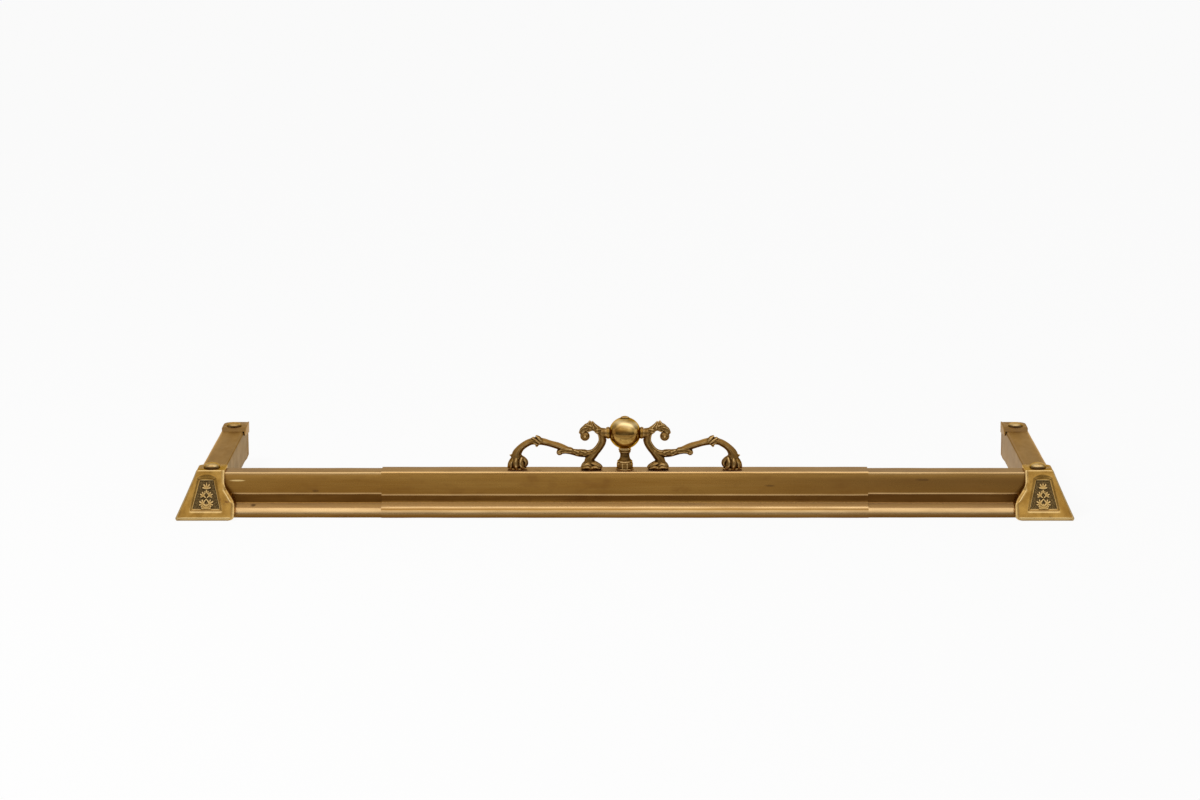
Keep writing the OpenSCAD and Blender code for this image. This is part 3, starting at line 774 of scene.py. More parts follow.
def rounded_solid(name, loop, place, start, end, soft):
    """Draws a closed loop from start to end, its edges at both ends rounded over."""
    angles = np.radians([90, 60, 30, 0])
    rings = []
    for edge, way, order in ((start, 1, angles), (end, -1, angles[::-1])):
        for a in order:
            drawn_in = moved_path(loop, -soft * (1 - math.cos(a)), True)
            rings.append(place(drawn_in, edge + way * soft * (1 - math.sin(a))))
    return loft(name, rings)


def make_end_cap():
    """The rear wall of an arm, with a plate that lies on its ledge."""
    face = moved_path(section_path, END_LIP)
    face[:, 1] = np.minimum(face[:, 1], ledge_h + 0.3)
    outline = np.vstack([
        [[face[0, 0], 0]], face, [[SECTION_D - 2, FLANGE_Z - 6], [26, 3], [20, 0]],
    ])
    outline = divided(softened(outline, 0.8), 3)
    wall = rounded_solid(
        "left_end_casting", outline,
        lambda loop, y: np.column_stack([-arm_x + loop[:, 0], np.full(len(loop), y), loop[:, 1]]),
        rear_y - END_WALL_T, rear_y, EDGE_SOFT,
    )
    cheek_x = SECTION_D + SHEET_CLEAR
    x0, x1 = -END_LIP, cheek_x + END_CHEEK_T
    y0, y1 = rear_y - END_PLATE_L, rear_y
    r, big = END_PLATE_R, END_ROUND_R
    plate_loop = divided(np.vstack([
        arc([x0 + r, y0 + r], r, 270, 180, 8), arc([x0 + big, y1 - big], big, 180, 90, 16),
        arc([x1 - r, y1 - r], r, 90, 0, 8), arc([x1 - r, y0 + r], r, 0, -90, 8),
    ]), 4)
    levels = [(z, 0.0) for z in (ledge_h, ledge_h + END_NOSE_T, ledge_h + 1.2)]
    levels += [(corner_h - PLATE_SOFT, a) for a in np.radians([0, 22, 45, 67, 90])]
    forward = np.clip((y1 - plate_loop[:, 1] - 20) / (END_PLATE_L - 20), 0, 1)
    beside = END_NOSE_IN * forward * (plate_loop[:, 0] < ledge_mid)
    rings = []
    for z, angle in levels:
        loop = moved_path(plate_loop, -PLATE_SOFT * (1 - math.cos(angle)), True)
        z += PLATE_SOFT * math.sin(angle)
        reach = END_NOSE_L * min(1, (corner_h - z) / (corner_h - ledge_h - END_NOSE_T))
        x = -arm_x + loop[:, 0] + beside * reach / END_NOSE_L
        rings.append(np.column_stack([x, loop[:, 1] - reach * forward, np.full(len(loop), z)]))
    plate = loft("end_plate", rings)
    cheek_loop = softened(np.array([
        [-END_CHEEK_L, END_CHEEK_Z[1]], [-END_CHEEK_L, ledge_h - 1], [-END_PLATE_L, corner_h - 1],
        [-END_CHEEK_L / 3, corner_h + END_CHEEK_RISE], [-END_PLATE_R, corner_h + END_CHEEK_RISE],
        [-END_PLATE_R, END_CHEEK_Z[0]],
    ]), 1.4, sharp=15)
    cheek = rounded_solid(
        "end_cheek", divided(cheek_loop, 3),
        lambda loop, x: np.column_stack([np.full(len(loop), -arm_x + x), rear_y + loop[:, 0], loop[:, 1]]),
        cheek_x, cheek_x + END_CHEEK_T, 0.5,
    )
    return combined(combined(wall, plate, "UNION"), cheek, "UNION")


# ---------------------------------------------------------------- domed nuts, ball, stem and collars

STUD_R = 3.0
BORE_R = STUD_R + 0.3   # holes that a stud or the long bolt passes through
THREAD_GAP = 0.1
TOUCH_GAP = 0.05        # air between pieces that lie against each other
KNOB_FLOOR = 1.8
BUTTON_R = 5.8
BUTTON_H = 2.2
BALL_WALL = 1.5
STEM_SIDES = 10
CUP_R = 8.9
NECK_R = 6.5


def make_knob(name, low, high):
    """A domed nut with a thin rim and a blind bore."""
    radius = (high[0] - low[0]) / 2
    tall = high[2] - low[2]
    foot = 1.7
    lean = np.radians(np.linspace(0, 90, 26))
    dome = np.column_stack([
        (radius - 0.7) * np.cos(lean) ** 0.82, foot + (tall - foot) * np.sin(lean) ** 1.12,
    ])
    dome[-1, 0] = 0
    rim = [[radius - 0.5, 0], [radius - 0.15, 0.15], [radius, 0.5], [radius, 1.0], [radius - 0.12, 1.3],
           [radius - 0.4, 1.5]]
    bore = STUD_R + THREAD_GAP
    profile = np.vstack([[[0, tall - KNOB_FLOOR], [bore, tall - KNOB_FLOOR], [bore, 0]], rim, dome])
    centre = ((low[0] + high[0]) / 2, (low[1] + high[1]) / 2, low[2])
    knob = lathe(name, profile, steps=96, origin=centre)
    # painted shade towards the rim
    mark(knob, grime=smooth_step((3.4 - coordinates_of(knob.data)[:, 2] + low[2]) / 1.6))
    return knob


def make_ball():
    """The hollow ball, with a fine seam round its middle and a hole at each pole for the bolt."""
    hole = math.degrees(math.asin(BORE_R / ball_r))
    outer_angles = np.concatenate([np.linspace(90 - hole, 2, 44), [1.0, 0.5, 0, -0.5, -1.0],
                                   np.linspace(-2, -90 + hole, 44)])
    seam = np.where(np.abs(outer_angles) < 0.3, 0.16, np.where(np.abs(outer_angles) < 0.8, 0.08, 0))
    radius = ball_r - seam
    angles = np.radians(outer_angles)
    outer = np.column_stack([radius * np.cos(angles), radius * np.sin(angles)])
    inner_r = ball_r - BALL_WALL
    inner_hole = math.degrees(math.asin(BORE_R / inner_r))
    inner = arc([0, 0], inner_r, -90 + inner_hole, 90 - inner_hole, 40)
    ball = lathe("ball_shell", np.vstack([outer, inner]), steps=128, origin=(0, crest_y, ball_z), sharp=25)
    points = coordinates_of(ball.data) - [0, crest_y, ball_z]
    from_button = np.hypot(points[:, 0], points[:, 1]) - BUTTON_R
    from_collar = np.hypot(points[:, 1], points[:, 2]) - collar_r
    # painted shade round the button, beside the collars and near the cup
    ring = smooth_step((2.6 - from_button) / 1.6) * (points[:, 2] > 0)
    beside = smooth_step((2.4 - from_collar) / 1.8) * (np.abs(points[:, 0]) > ball_r / 2)
    cup = smooth_step((3.0 - (from_button + BUTTON_R - CUP_R)) / 2.0) * (points[:, 2] < 0)
    height = points[:, 2] + 2.0 * np.sin(points[:, 0] / 7.0)
    mark(
        ball,
        grime=np.maximum(np.maximum(ring, beside), 0.4 * cup),
        # a painted dark reflection band round the middle
        band=smooth_step((height + 6.5) / 4) * smooth_step((8.5 - height) / 4),
        # a painted highlight on the upper part
        crown=np.exp(-(((height - 15.5) / 3.6) ** 2)) * smooth_step((from_button - 1.0) / 2.5),
    )
    return ball


def make_bolt():
    """The long bolt, whose head is the button on top of the ball."""
    seat = ball_z + math.sqrt(ball_r**2 - BUTTON_R**2)
    top = bolt_high[2]
    under = ball_z + math.sqrt(ball_r**2 - STUD_R**2) + 0.06
    rim_top = top - BUTTON_H * 0.62
    dome_h = top - rim_top
    dome_r = (dome_h**2 + (BUTTON_R - 0.5) ** 2) / (2 * dome_h)
    angles = np.linspace(math.asin((BUTTON_R - 0.5) / dome_r), 0, 14)
    dome = np.column_stack([dome_r * np.sin(angles), top - dome_r * (1 - np.cos(angles))])
    low = bolt_low[2]
    profile = np.vstack([
        [[0, low], [STUD_R - 0.5, low], [STUD_R, low + 0.5], [STUD_R, under]],
        [[BUTTON_R - 0.4, seat + 0.1], [BUTTON_R, seat + 0.35]],
        [[BUTTON_R, rim_top - 0.25], [BUTTON_R - 0.15, rim_top - 0.05]],
        dome,
    ])
    return lathe("bolt_button", profile, steps=72, origin=(0, crest_y, 0))


def make_stem():
    """The turned stem: a ten-sided foot on a disc, an ogee, a neck and the cup that holds the ball."""
    height = stem_high[2] - stem_low[2]
    rim = height - 2.0
    # [height, radius, how ten-sided]
    profile = [
        [0.0, 12.0, 0], [0.25, 12.25, 0], [1.2, 12.25, 0], [1.5, 12.0, 0], [1.6, 11.5, 0.6], [1.9, 11.3, 1],
        [3.0, 11.4, 1], [5.5, 11.4, 1], [7.8, 11.4, 1], [8.8, 11.3, 1], [9.3, 10.95, 1], [9.6, 10.6, 0.8],
        [9.9, 10.4, 0.3], [10.6, 10.7, 0], [11.4, 10.75, 0], [12.1, 10.3, 0], [12.9, 9.2, 0], [13.8, 8.3, 0],
        [15.2, 7.5, 0], [17.0, 6.9, 0], [19.0, NECK_R, 0], [21.0, NECK_R, 0], [22.6, 6.8, 0], [23.6, 7.3, 0],
        [24.3, 8.1, 0], [24.9, 8.3, 0], [25.5, 8.1, 0], [26.1, 8.0, 0], [26.9, 8.5, 0], [27.8, CUP_R, 0],
        [rim - 0.4, CUP_R, 0], [rim + 0.2, CUP_R - 0.15, 0],
    ]
    dense = []
    for (z0, r0, s0), (z1, r1, s1) in zip(profile, profile[1:]):
        dense += [[z0 + (z1 - z0) * t, r0 + (r1 - r0) * t, s0 + (s1 - s0) * t] for t in (0, 0.5)]
    dense.append(profile[-1])
    steps = 120
    angle = np.linspace(0, 2 * math.pi, steps, endpoint=False)
    sector = 2 * math.pi / STEM_SIDES
    within = (angle + math.pi / 2 + sector / 2) % sector - sector / 2
    facet = math.cos(sector / 2) / np.cos(within)
    rings = []
    for z, radius, sided in dense:
        r = radius * (1 - sided + sided * np.minimum(facet, 0.995))
        rings.append(circle_ring((0, crest_y), r, stem_low[2] + z, steps))
    # The cup's hollow follows the ball, down to the bore for the bolt
    centre = ball_z - stem_low[2]
    for r in np.linspace(CUP_R - 0.5, BORE_R, 8):
        z = centre - math.sqrt((ball_r + TOUCH_GAP) ** 2 - r**2)
        rings.append(circle_ring((0, crest_y), r, stem_low[2] + z, steps))
    rings.append(circle_ring((0, crest_y), BORE_R, stem_low[2], steps))
    rings = np.array(rings)
    rows, columns = rings.shape[:2]
    faces = ring_faces(rows, columns)
    end = (rows - 1) * columns
    faces += [(end + j, end + (j + 1) % columns, (j + 1) % columns, j) for j in range(columns)]
    piece = build("stem_turning", rings.reshape(-1, 3), faces, sharp=32)
    mark_ridges(piece, 3, 0.12)
    return piece


def make_collar():
    """A ring with a round edge and two fine grooves, turned about X on the left of the ball."""
    radius, outer = collar_r, collar_end
    inner = math.sqrt(ball_r**2 - radius**2)
    bore = STUD_R + THREAD_GAP
    seat = ball_r + TOUCH_GAP
    along = np.linspace(0, 1, 40)
    grooves = 0.35 * (np.exp(-(((along - 0.28) / 0.05) ** 2)) + np.exp(-(((along - 0.74) / 0.05) ** 2)))
    ring = np.column_stack([radius - 1 + np.sin(math.pi * along) - grooves, inner + (outer - inner) * along])
    face = [[r, math.sqrt(seat**2 - r**2)] for r in np.linspace(bore, radius - 1.4, 8)]
    profile = np.vstack([face, ring, [[bore, outer]]])
    profile[:, 1] *= -1
    piece = lathe("left_collar_rings", profile, steps=80, axis="x", origin=(0, crest_y, ball_z), sharp=40)
    mark_ridges(piece, 3, 0.12)
    return piece


# ---------------------------------------------------------------- scrolls of the crest

BOSS_UP = 51.5          # height of the collar's middle in the runs below
BOSS = ((TOUCH_GAP, 12.8), (2.4, 13.2), (6.0, 12.8), (9.0, 9.0))     # [out, width] of the boss beside it
scroll_rise = (ball_z - sleeve_top) / BOSS_UP

# Each branch is a run of [out from the collar, up from the ledge, width]
CURL = [
    [29.6, 50.0, 8.0], [32.4, 52.6, 9.6], [30.6, 56.0, 9.8], [26.6, 58.4, 10.2], [20.2, 59.8, 9.8],
    [14.4, 58.0, 9.0], [9.4, 54.2, 9.6], [5.8, 48.8, 10.8], [5.0, 43.2, 10.6], [5.6, 38.6, 10.3],
    [7.8, 33.9, 10.2], [11.2, 28.9, 10.2], [15.6, 24.0, 11.0], [19.5, 19.0, 12.0],
]
TAIL = [
    [16, 22.8, 9.0], [26, 21.8, 9.4], [36.6, 22.3, 9.4], [47, 24.1, 7.6], [52, 25.9, 8.4], [59, 29.4, 8.8],
    [67.3, 32.9, 8.9], [78.5, 36.2, 8.3], [85.5, 38.3, 9.0], [92.5, 39.5, 9.4], [100.2, 40.0, 9.8],
    [105.1, 38.9, 8.6], [109.3, 37.2, 8.7], [115.6, 33.3, 8.8], [120.9, 28.4, 9.6], [124.7, 22, 12.2],
    [124.7, 16.0, 14.6],
]
# The light band along the inner rim of the curl, which runs on over the start of the tail
RIM_BAND = [
    [26.6, 53.4], [23.6, 54.4], [19.0, 55.9], [13.2, 53.2], [10.6, 49.7], [9.2, 46.2], [8.9, 43.2],
    [9.6, 39.3], [11.5, 34.9], [13.9, 31.4], [18.7, 27.3], [23.8, 25.6], [30, 25.2], [36, 25.6], [40.4, 26.0],
]


def smooth_run(points, steps):
    """Points on a smooth curve through a run of points."""
    points = np.asarray(points, float)
    padded = np.vstack([2 * points[0] - points[1], points, 2 * points[-1] - points[-2]])
    t = np.linspace(0, 1, steps, endpoint=False)[:, None]
    out = []
    for i in range(len(points) - 1):
        a, b, c, d = padded[i:i + 4]
        square, cube = 2 * a - 5 * b + 4 * c - d, 3 * b - a - 3 * c + d
        out.append((2 * b + (c - a) * t + square * t**2 + cube * t**3) / 2)
    return np.vstack([*out, points[-1:]])


def tube(rings):
    """Points and faces of a tube through rings, closed at both ends."""
    rings = np.array(rings)
    rows, columns = rings.shape[:2]
    faces = ring_faces(rows, columns)
    faces.append(tuple(range(columns))[::-1])
    faces.append(tuple(range((rows - 1) * columns, rows * columns)))
    return rings.reshape(-1, 3), faces


def sweep(run, depth=0.9, flutes=0, flute_depth=0.0, steps=40, round_ends=True):
    """A tube along [out, up, width] or [out, up, width, back] points, its section an oval with flutes."""
    run = np.asarray(run, float)
    if run.shape[1] == 3:
        run = np.column_stack([run, np.zeros(len(run))])
    centre = run[:, [0, 3, 1]]
    tangent = np.gradient(centre, axis=0)
    tangent /= np.linalg.norm(tangent, axis=1)[:, None]
    side = np.cross(tangent, [0, 1, 0])
    side /= np.linalg.norm(side, axis=1)[:, None]
    front = np.cross(side, tangent)
    angle = np.linspace(0, 2 * math.pi, steps, endpoint=False)
    shape = 1 + flute_depth * np.cos(flutes * angle)
    rings = []
    for k in range(len(run)):
        half = run[k, 2] / 2
        ring = np.outer(np.cos(angle) * shape, side[k]) + np.outer(np.sin(angle) * shape * depth, front[k])
        rings.append(centre[k] + half * ring)
    if round_ends:
        first, last = [], []
        for lean in (25, 50, 72):
            slim, ahead = math.cos(math.radians(lean)), math.sin(math.radians(lean)) * 0.5
            first.insert(0, centre[0] - tangent[0] * ahead * run[0, 2] + (rings[0] - centre[0]) * slim)
            last.append(centre[-1] + tangent[-1] * ahead * run[-1, 2] + (rings[-1] - centre[-1]) * slim)
        rings = first + rings + last
    return tube(rings)


def leaf(points, depth=0.7):
    """A pointed leaf or sheath along a short run."""
    return sweep(smooth_run(points, 6), depth, 6, 0.12)


def blob(out, up, size):
    """A small rounded lump, [out, back, up] half sizes in size."""
    rings = []
    angle = np.linspace(0, 2 * math.pi, 20, endpoint=False)
    for lift in np.radians(np.linspace(-80, 80, 11)):
        rings.append(np.column_stack([
            out + size[0] * math.cos(lift) * np.cos(angle),
            size[1] * math.cos(lift) * np.sin(angle),
            np.full(20, up + size[2] * math.sin(lift)),
        ]))
    return tube(rings)


def both_faces(spines):
    """Leaves along [out, up, width, forward] points on the front of a foot, and their twins on the back."""
    return [sweep(smooth_run(spine, 5) * [1, 1, 1, side], 0.9, 4, 0.08)
            for spine in spines for side in (-1, 1)]


INNER_LEAVES = (
    [[21.4, 5.4, 4.0, 5.4], [25.0, 7.5, 4.6, 6.2], [28.6, 6.8, 4.4, 6.2], [31.8, 4.6, 3.0, 5.2]],
    [[21.6, 2.0, 3.8, 6.6], [26.0, 3.6, 4.4, 7.4], [31.0, 2.8, 4.2, 6.6], [34.4, 1.6, 2.6, 4.4]],
    [[19.6, 8.6, 4.6, 4.4], [15.6, 7.4, 4.8, 5.4], [11.4, 5.4, 4.2, 5.4], [8.0, 3.8, 2.8, 4.2]],
    [[19.4, 2.6, 4.4, 7.0], [14.6, 3.6, 4.6, 7.0], [10.4, 2.2, 3.8, 5.8], [7.2, 1.4, 2.4, 3.8]],
)
OUTER_LEAVES = (
    [[118.6, 15.4, 5.0, 4.2], [119.8, 10.2, 6.2, 6.2], [119.0, 5.6, 6.0, 6.8], [116.6, 2.4, 4.2, 6.0]],
    [[125.4, 16.4, 5.6, 4.4], [126.2, 10.8, 7.2, 6.2], [126.0, 5.4, 7.4, 6.8], [125.2, 1.8, 5.2, 6.8]],
    [[130.4, 13.0, 4.6, 3.4], [132.6, 8.4, 5.2, 4.8], [133.2, 3.8, 4.8, 5.2], [133.2, 1.4, 3.4, 5.0]],
)


def inner_foot():
    """Overlapping leaves that lie flat, with a wedge that runs on under the curl."""
    wedge = [[15.4, 24.4, 11.4], [19.8, 18.6, 12.0], [23.0, 14.0, 12.4], [23.6, 9.0, 14.4]]
    return [
        sweep(smooth_run(wedge, 5), 0.9, 4, 0.06),
        blob(21.5, 4.4, (11.0, 6.4, 6.0)),
        blob(20.4, 0.8, (14.4, 8.0, 2.5)),
        leaf([[18.4, 9.0, 7.4], [12.6, 6.6, 6.0], [8.4, 4.6, 4.6], [6.2, 3.0, 3.0]]),
        leaf([[27.6, 8.2, 8.0], [31.4, 5.8, 6.0], [34.2, 3.0, 3.4]]),
    ] + both_faces(INNER_LEAVES)


def outer_foot():
    """A round leaf curl under the tail's end, with drooping leaves in front, behind and beyond it."""
    return [
        blob(124.2, 6.6, (10.6, 7.2, 9.4)),
        blob(124.0, 0.8, (13.8, 8.2, 2.7)),
        sweep(smooth_run([[119.6, 16.0, 7.4], [115.8, 14.0, 7.0], [112.6, 10.4, 6.6], [112.8, 6.0, 5.8],
                          [116.2, 4.2, 4.8]], 5), 1.1, 4, 0.06),
        leaf([[127.6, 19.4, 8.6], [131.4, 19.0, 5.2], [134.4, 19.9, 2.0]]),
        leaf([[127.4, 15.4, 9.0], [131.6, 11.0, 8.0], [134.2, 6.2, 7.2], [136.4, 2.4, 4.0]], 1.0),
    ] + both_faces(OUTER_LEAVES)


def scroll_parts():
    """The pieces of one scroll: branches, leaves, sheaths, boss and feet."""
    curl = smooth_run(CURL, 9)
    tail = smooth_run(TAIL, 9)
    band = np.insert(np.asarray(RIM_BAND), 2, 2.9, axis=1)
    return [
        sweep(curl, 0.86, 4, 0.07, steps=48),
        sweep(tail, 0.90, 4, 0.11, steps=48),
        sweep(smooth_run(band, 8), 2.5),
        # the round end of the curl
        blob(29.6, 46.8, (6.8, 5.6, 6.8)),
        blob(29.6, 46.8, (3.6, 6.6, 3.6)),
        # leaf tips on top of the curl
        leaf([[14.0, 57.6, 9.4], [17.0, 61.8, 7.0], [18.4, 65.4, 4.2], [19.0, 67.9, 1.6]], 0.9),
        leaf([[24.6, 58.4, 9.6], [24.2, 63.2, 6.6], [23.2, 66.6, 3.8], [22.6, 69.0, 1.6]], 0.9),
        leaf([[20.0, 59.6, 9.8], [20.6, 63.0, 7.0], [20.9, 65.6, 4.4]], 1.0),
        leaf([[22.0, 60.0, 9.0], [27.0, 61.8, 6.4], [31.0, 60.4, 3.4]], 1.1),
        leaf([[28.0, 58.0, 8.6], [33.4, 56.0, 6.0], [36.6, 51.8, 3.2]], 1.1),
        leaf([[12.0, 55.0, 9.4], [7.0, 55.6, 6.4], [2.6, 56.6, 3.4]], 1.1),
        # sheaths along the tail: low bumps, the bud, and the knot of rolls at its highest point
        leaf([[30.0, 22.4, 10.2], [36.4, 24.6, 7.2], [41.4, 27.0, 2.6]], 1.0),
        leaf([[40.0, 23.0, 9.6], [45.0, 25.4, 6.6], [48.4, 28.4, 2.4]], 1.0),
        leaf([[50.0, 26.0, 9.4], [57.0, 26.8, 9.4], [62.0, 25.8, 8.6], [65.4, 24.4, 7.6]], 0.95),
        blob(65.2, 23.6, (4.4, 4.6, 4.2)),
        sweep(smooth_run([[90.6, 40.6, 5.2], [94.2, 44.2, 5.6], [97.2, 46.6, 3.4]], 6), 1.9),
        sweep(smooth_run([[93.2, 38.0, 5.0], [97.2, 40.8, 5.6], [102.0, 43.8, 4.0]], 6), 2.0),
        sweep(smooth_run([[97.0, 35.8, 4.8], [100.8, 38.2, 5.4], [105.0, 41.2, 3.6]], 6), 1.9),
        leaf([[94.6, 38.2, 8.0], [96.4, 35.6, 6.4], [97.2, 32.8, 3.4]], 0.9),
        # boss beside the collar
        sweep([[out, BOSS_UP, width] for out, width in BOSS], 1.0, round_ends=False),
    ] + inner_foot() + outer_foot()


VOXEL = 0.42            # size of the grid that melts the parts together


def make_scroll():
    """One casting: its parts are melted into a single skin."""
    points, faces = [], []
    total = 0
    for part_points, part_faces in scroll_parts():
        points.append(part_points)
        faces += [tuple(total + i for i in face) for face in part_faces]
        total += len(part_points)
    points = np.vstack(points)
    points[:, 2] *= scroll_rise
    points = np.column_stack([-collar_end - points[:, 0], crest_y + points[:, 1], sleeve_top + points[:, 2]])
    piece = build("left_scroll_casting", points, faces, sharp=0)
    remesh = piece.modifiers.new("melt", "REMESH")
    remesh.mode = "VOXEL"
    remesh.voxel_size = VOXEL * MM
    settle = piece.modifiers.new("settle", "SMOOTH")
    settle.factor = 0.5
    settle.iterations = 2
    applied(piece)
    mesh = piece.data
    co = coordinates_of(mesh)
    co[:, 2] = np.maximum(co[:, 2], sleeve_top + 0.02)
    beside_collar = np.abs(co[:, 2] - ball_z) < 9
    co[:, 0] = np.where(beside_collar, np.minimum(co[:, 0], -collar_end - TOUCH_GAP), co[:, 0])
    set_coordinates(mesh, co)
    mesh.shade_smooth()
    mark_ridges(piece, 14, 0.35)
    return piece


# ---------------------------------------------------------------- materials


class Nodes:
    """The node tree of a material or world, with short calls to add nodes and join them."""

    def __init__(self, owner, empty=True):
        owner.use_nodes = True
        self.tree = owner.node_tree
        if empty:
            self.tree.nodes.clear()

    def feed(self, socket, value):
        """Links a node's output to a socket, or sets the socket to a value."""
        if isinstance(value, bpy.types.NodeSocket):
            self.tree.links.new(value, socket)
        elif isinstance(value, tuple) and len(value) == 3 and socket.type == "RGBA":
            socket.default_value = (*value, 1)
        else:
            socket.default_value = value

    def add(self, kind, *inputs, **settings):
        """Adds a node with its settings, and feeds its first inputs."""
        node = self.tree.nodes.new("ShaderNode" + kind)
        for key, value in settings.items():
            setattr(node, key, value)
        for socket, value in zip(node.inputs, inputs):
            self.feed(socket, value)
        return node

    def math(self, operation, a, b, clamp=False):
        return self.add("Math", a, b, operation=operation, use_clamp=clamp).outputs[0]

    def times(self, a, b):
        return self.math("MULTIPLY", a, b)

    def plus(self, a, b, clamp=False):
        return self.math("ADD", a, b, clamp)


class Finish(Nodes):
    """A metal's node tree, with calls for what the finishes share."""

    def __init__(self, name, edge):
        self.material = bpy.data.materials.new(name)
        super().__init__(self.material, empty=False)
        self.shader = self.tree.nodes["Principled BSDF"]
        self.shader.inputs["Metallic"].default_value = 1.0
        self.shader.inputs["Specular Tint"].default_value = (*edge, 1)
        self.place = self.add("TexCoord").outputs["Object"]
        self.colour = None

    def stretched(self, scale):
        node = self.add("Mapping", self.place)
        node.inputs["Scale"].default_value = scale
        return node.outputs["Vector"]

    def noise(self, scale, detail=4.0, rough=0.55, stretch=(1, 1, 1)):
        node = self.add("TexNoise", self.stretched(stretch))
        node.inputs["Scale"].default_value = scale
        node.inputs["Detail"].default_value = detail
        node.inputs["Roughness"].default_value = rough
        return node.outputs["Fac"]

    def cells(self, scale):
        node = self.add("TexVoronoi", self.stretched((1, 1, 1)))
        node.inputs["Scale"].default_value = scale
        return node.outputs["Distance"]

    def between(self, value, low, high, first=0.0, last=1.0):
        """Goes smoothly from first to last as a value goes from low to high."""
        node = self.add("MapRange", value, low, high, first, last, interpolation_type="SMOOTHSTEP")
        return node.outputs["Result"]

    def mix(self, factor, a, b):
        node = self.add("Mix", data_type="RGBA")
        for index, value in ((0, factor), (6, a), (7, b)):
            self.feed(node.inputs[index], value)
        return node.outputs[2]

    def over(self, factor, colour):
        """Lays a colour over what is there so far."""
        self.colour = self.mix(factor, self.colour, colour)

    def attribute(self, name):
        return self.add("Attribute", attribute_name=name).outputs["Fac"]

    def patchy(self, name, noise, *limits):
        """A mark on the mesh, broken up by noise."""
        return self.times(self.attribute(name), self.between(noise, *limits))

    def facing_up(self):
        parts = self.add("SeparateXYZ", self.add("NewGeometry").outputs["Normal"])
        return self.between(parts.outputs["Z"], 0.6, 0.95)

    def axis(self, name):
        return self.add("SeparateXYZ", self.place).outputs[name]

    def spot(self, place, size, ragged=0.5):
        """1 inside a ragged oval round a place, both in millimetres."""
        away = self.add("VectorMath", self.place, [c * MM for c in place], operation="SUBTRACT")
        scaled = self.add("VectorMath", away.outputs[0], [c * MM for c in size], operation="DIVIDE")
        length = self.add("VectorMath", scaled.outputs[0], operation="LENGTH")
        edge = self.times(self.math("SUBTRACT", self.noise(150, 4), 0.5), ragged * 2)
        return self.between(self.plus(length.outputs["Value"], edge), 1.1, 0.5)

    def bump(self, height, strength, distance, under=None):
        """A bump of a depth in millimetres, on top of another if there is one."""
        node = self.add("Bump")
        self.feed(node.inputs["Height"], height)
        node.inputs["Strength"].default_value = strength
        node.inputs["Distance"].default_value = distance * MM
        if under is not None:
            self.feed(node.inputs["Normal"], under)
        return node.outputs["Normal"]

    def finish(self, roughness, normal):
        for name, value in (("Base Color", self.colour), ("Roughness", roughness), ("Normal", normal)):
            self.feed(self.shader.inputs[name], value)
        return self.material


# Stains on the front, and one painted reflection on the left rail: place, half sizes and depth of colour
STAINS = (
    ((-433, -158, 36.0), (6, 6, 2.4), 0.55),
    ((-519, -162, 17.0), (4, 6, 2.0), 0.8),
    ((-121, -148, 64.0), (7, 4, 4.0), 0.6),
    ((203, -158, 44.0), (9, 6, 2.0), 0.5),
    ((416, -158, 52.0), (12, 6, 2.5), 0.45),
)
PAINTED_REFLECTION_PATCH = ((-541, -155, 51.0), (13, 6, 1.3))


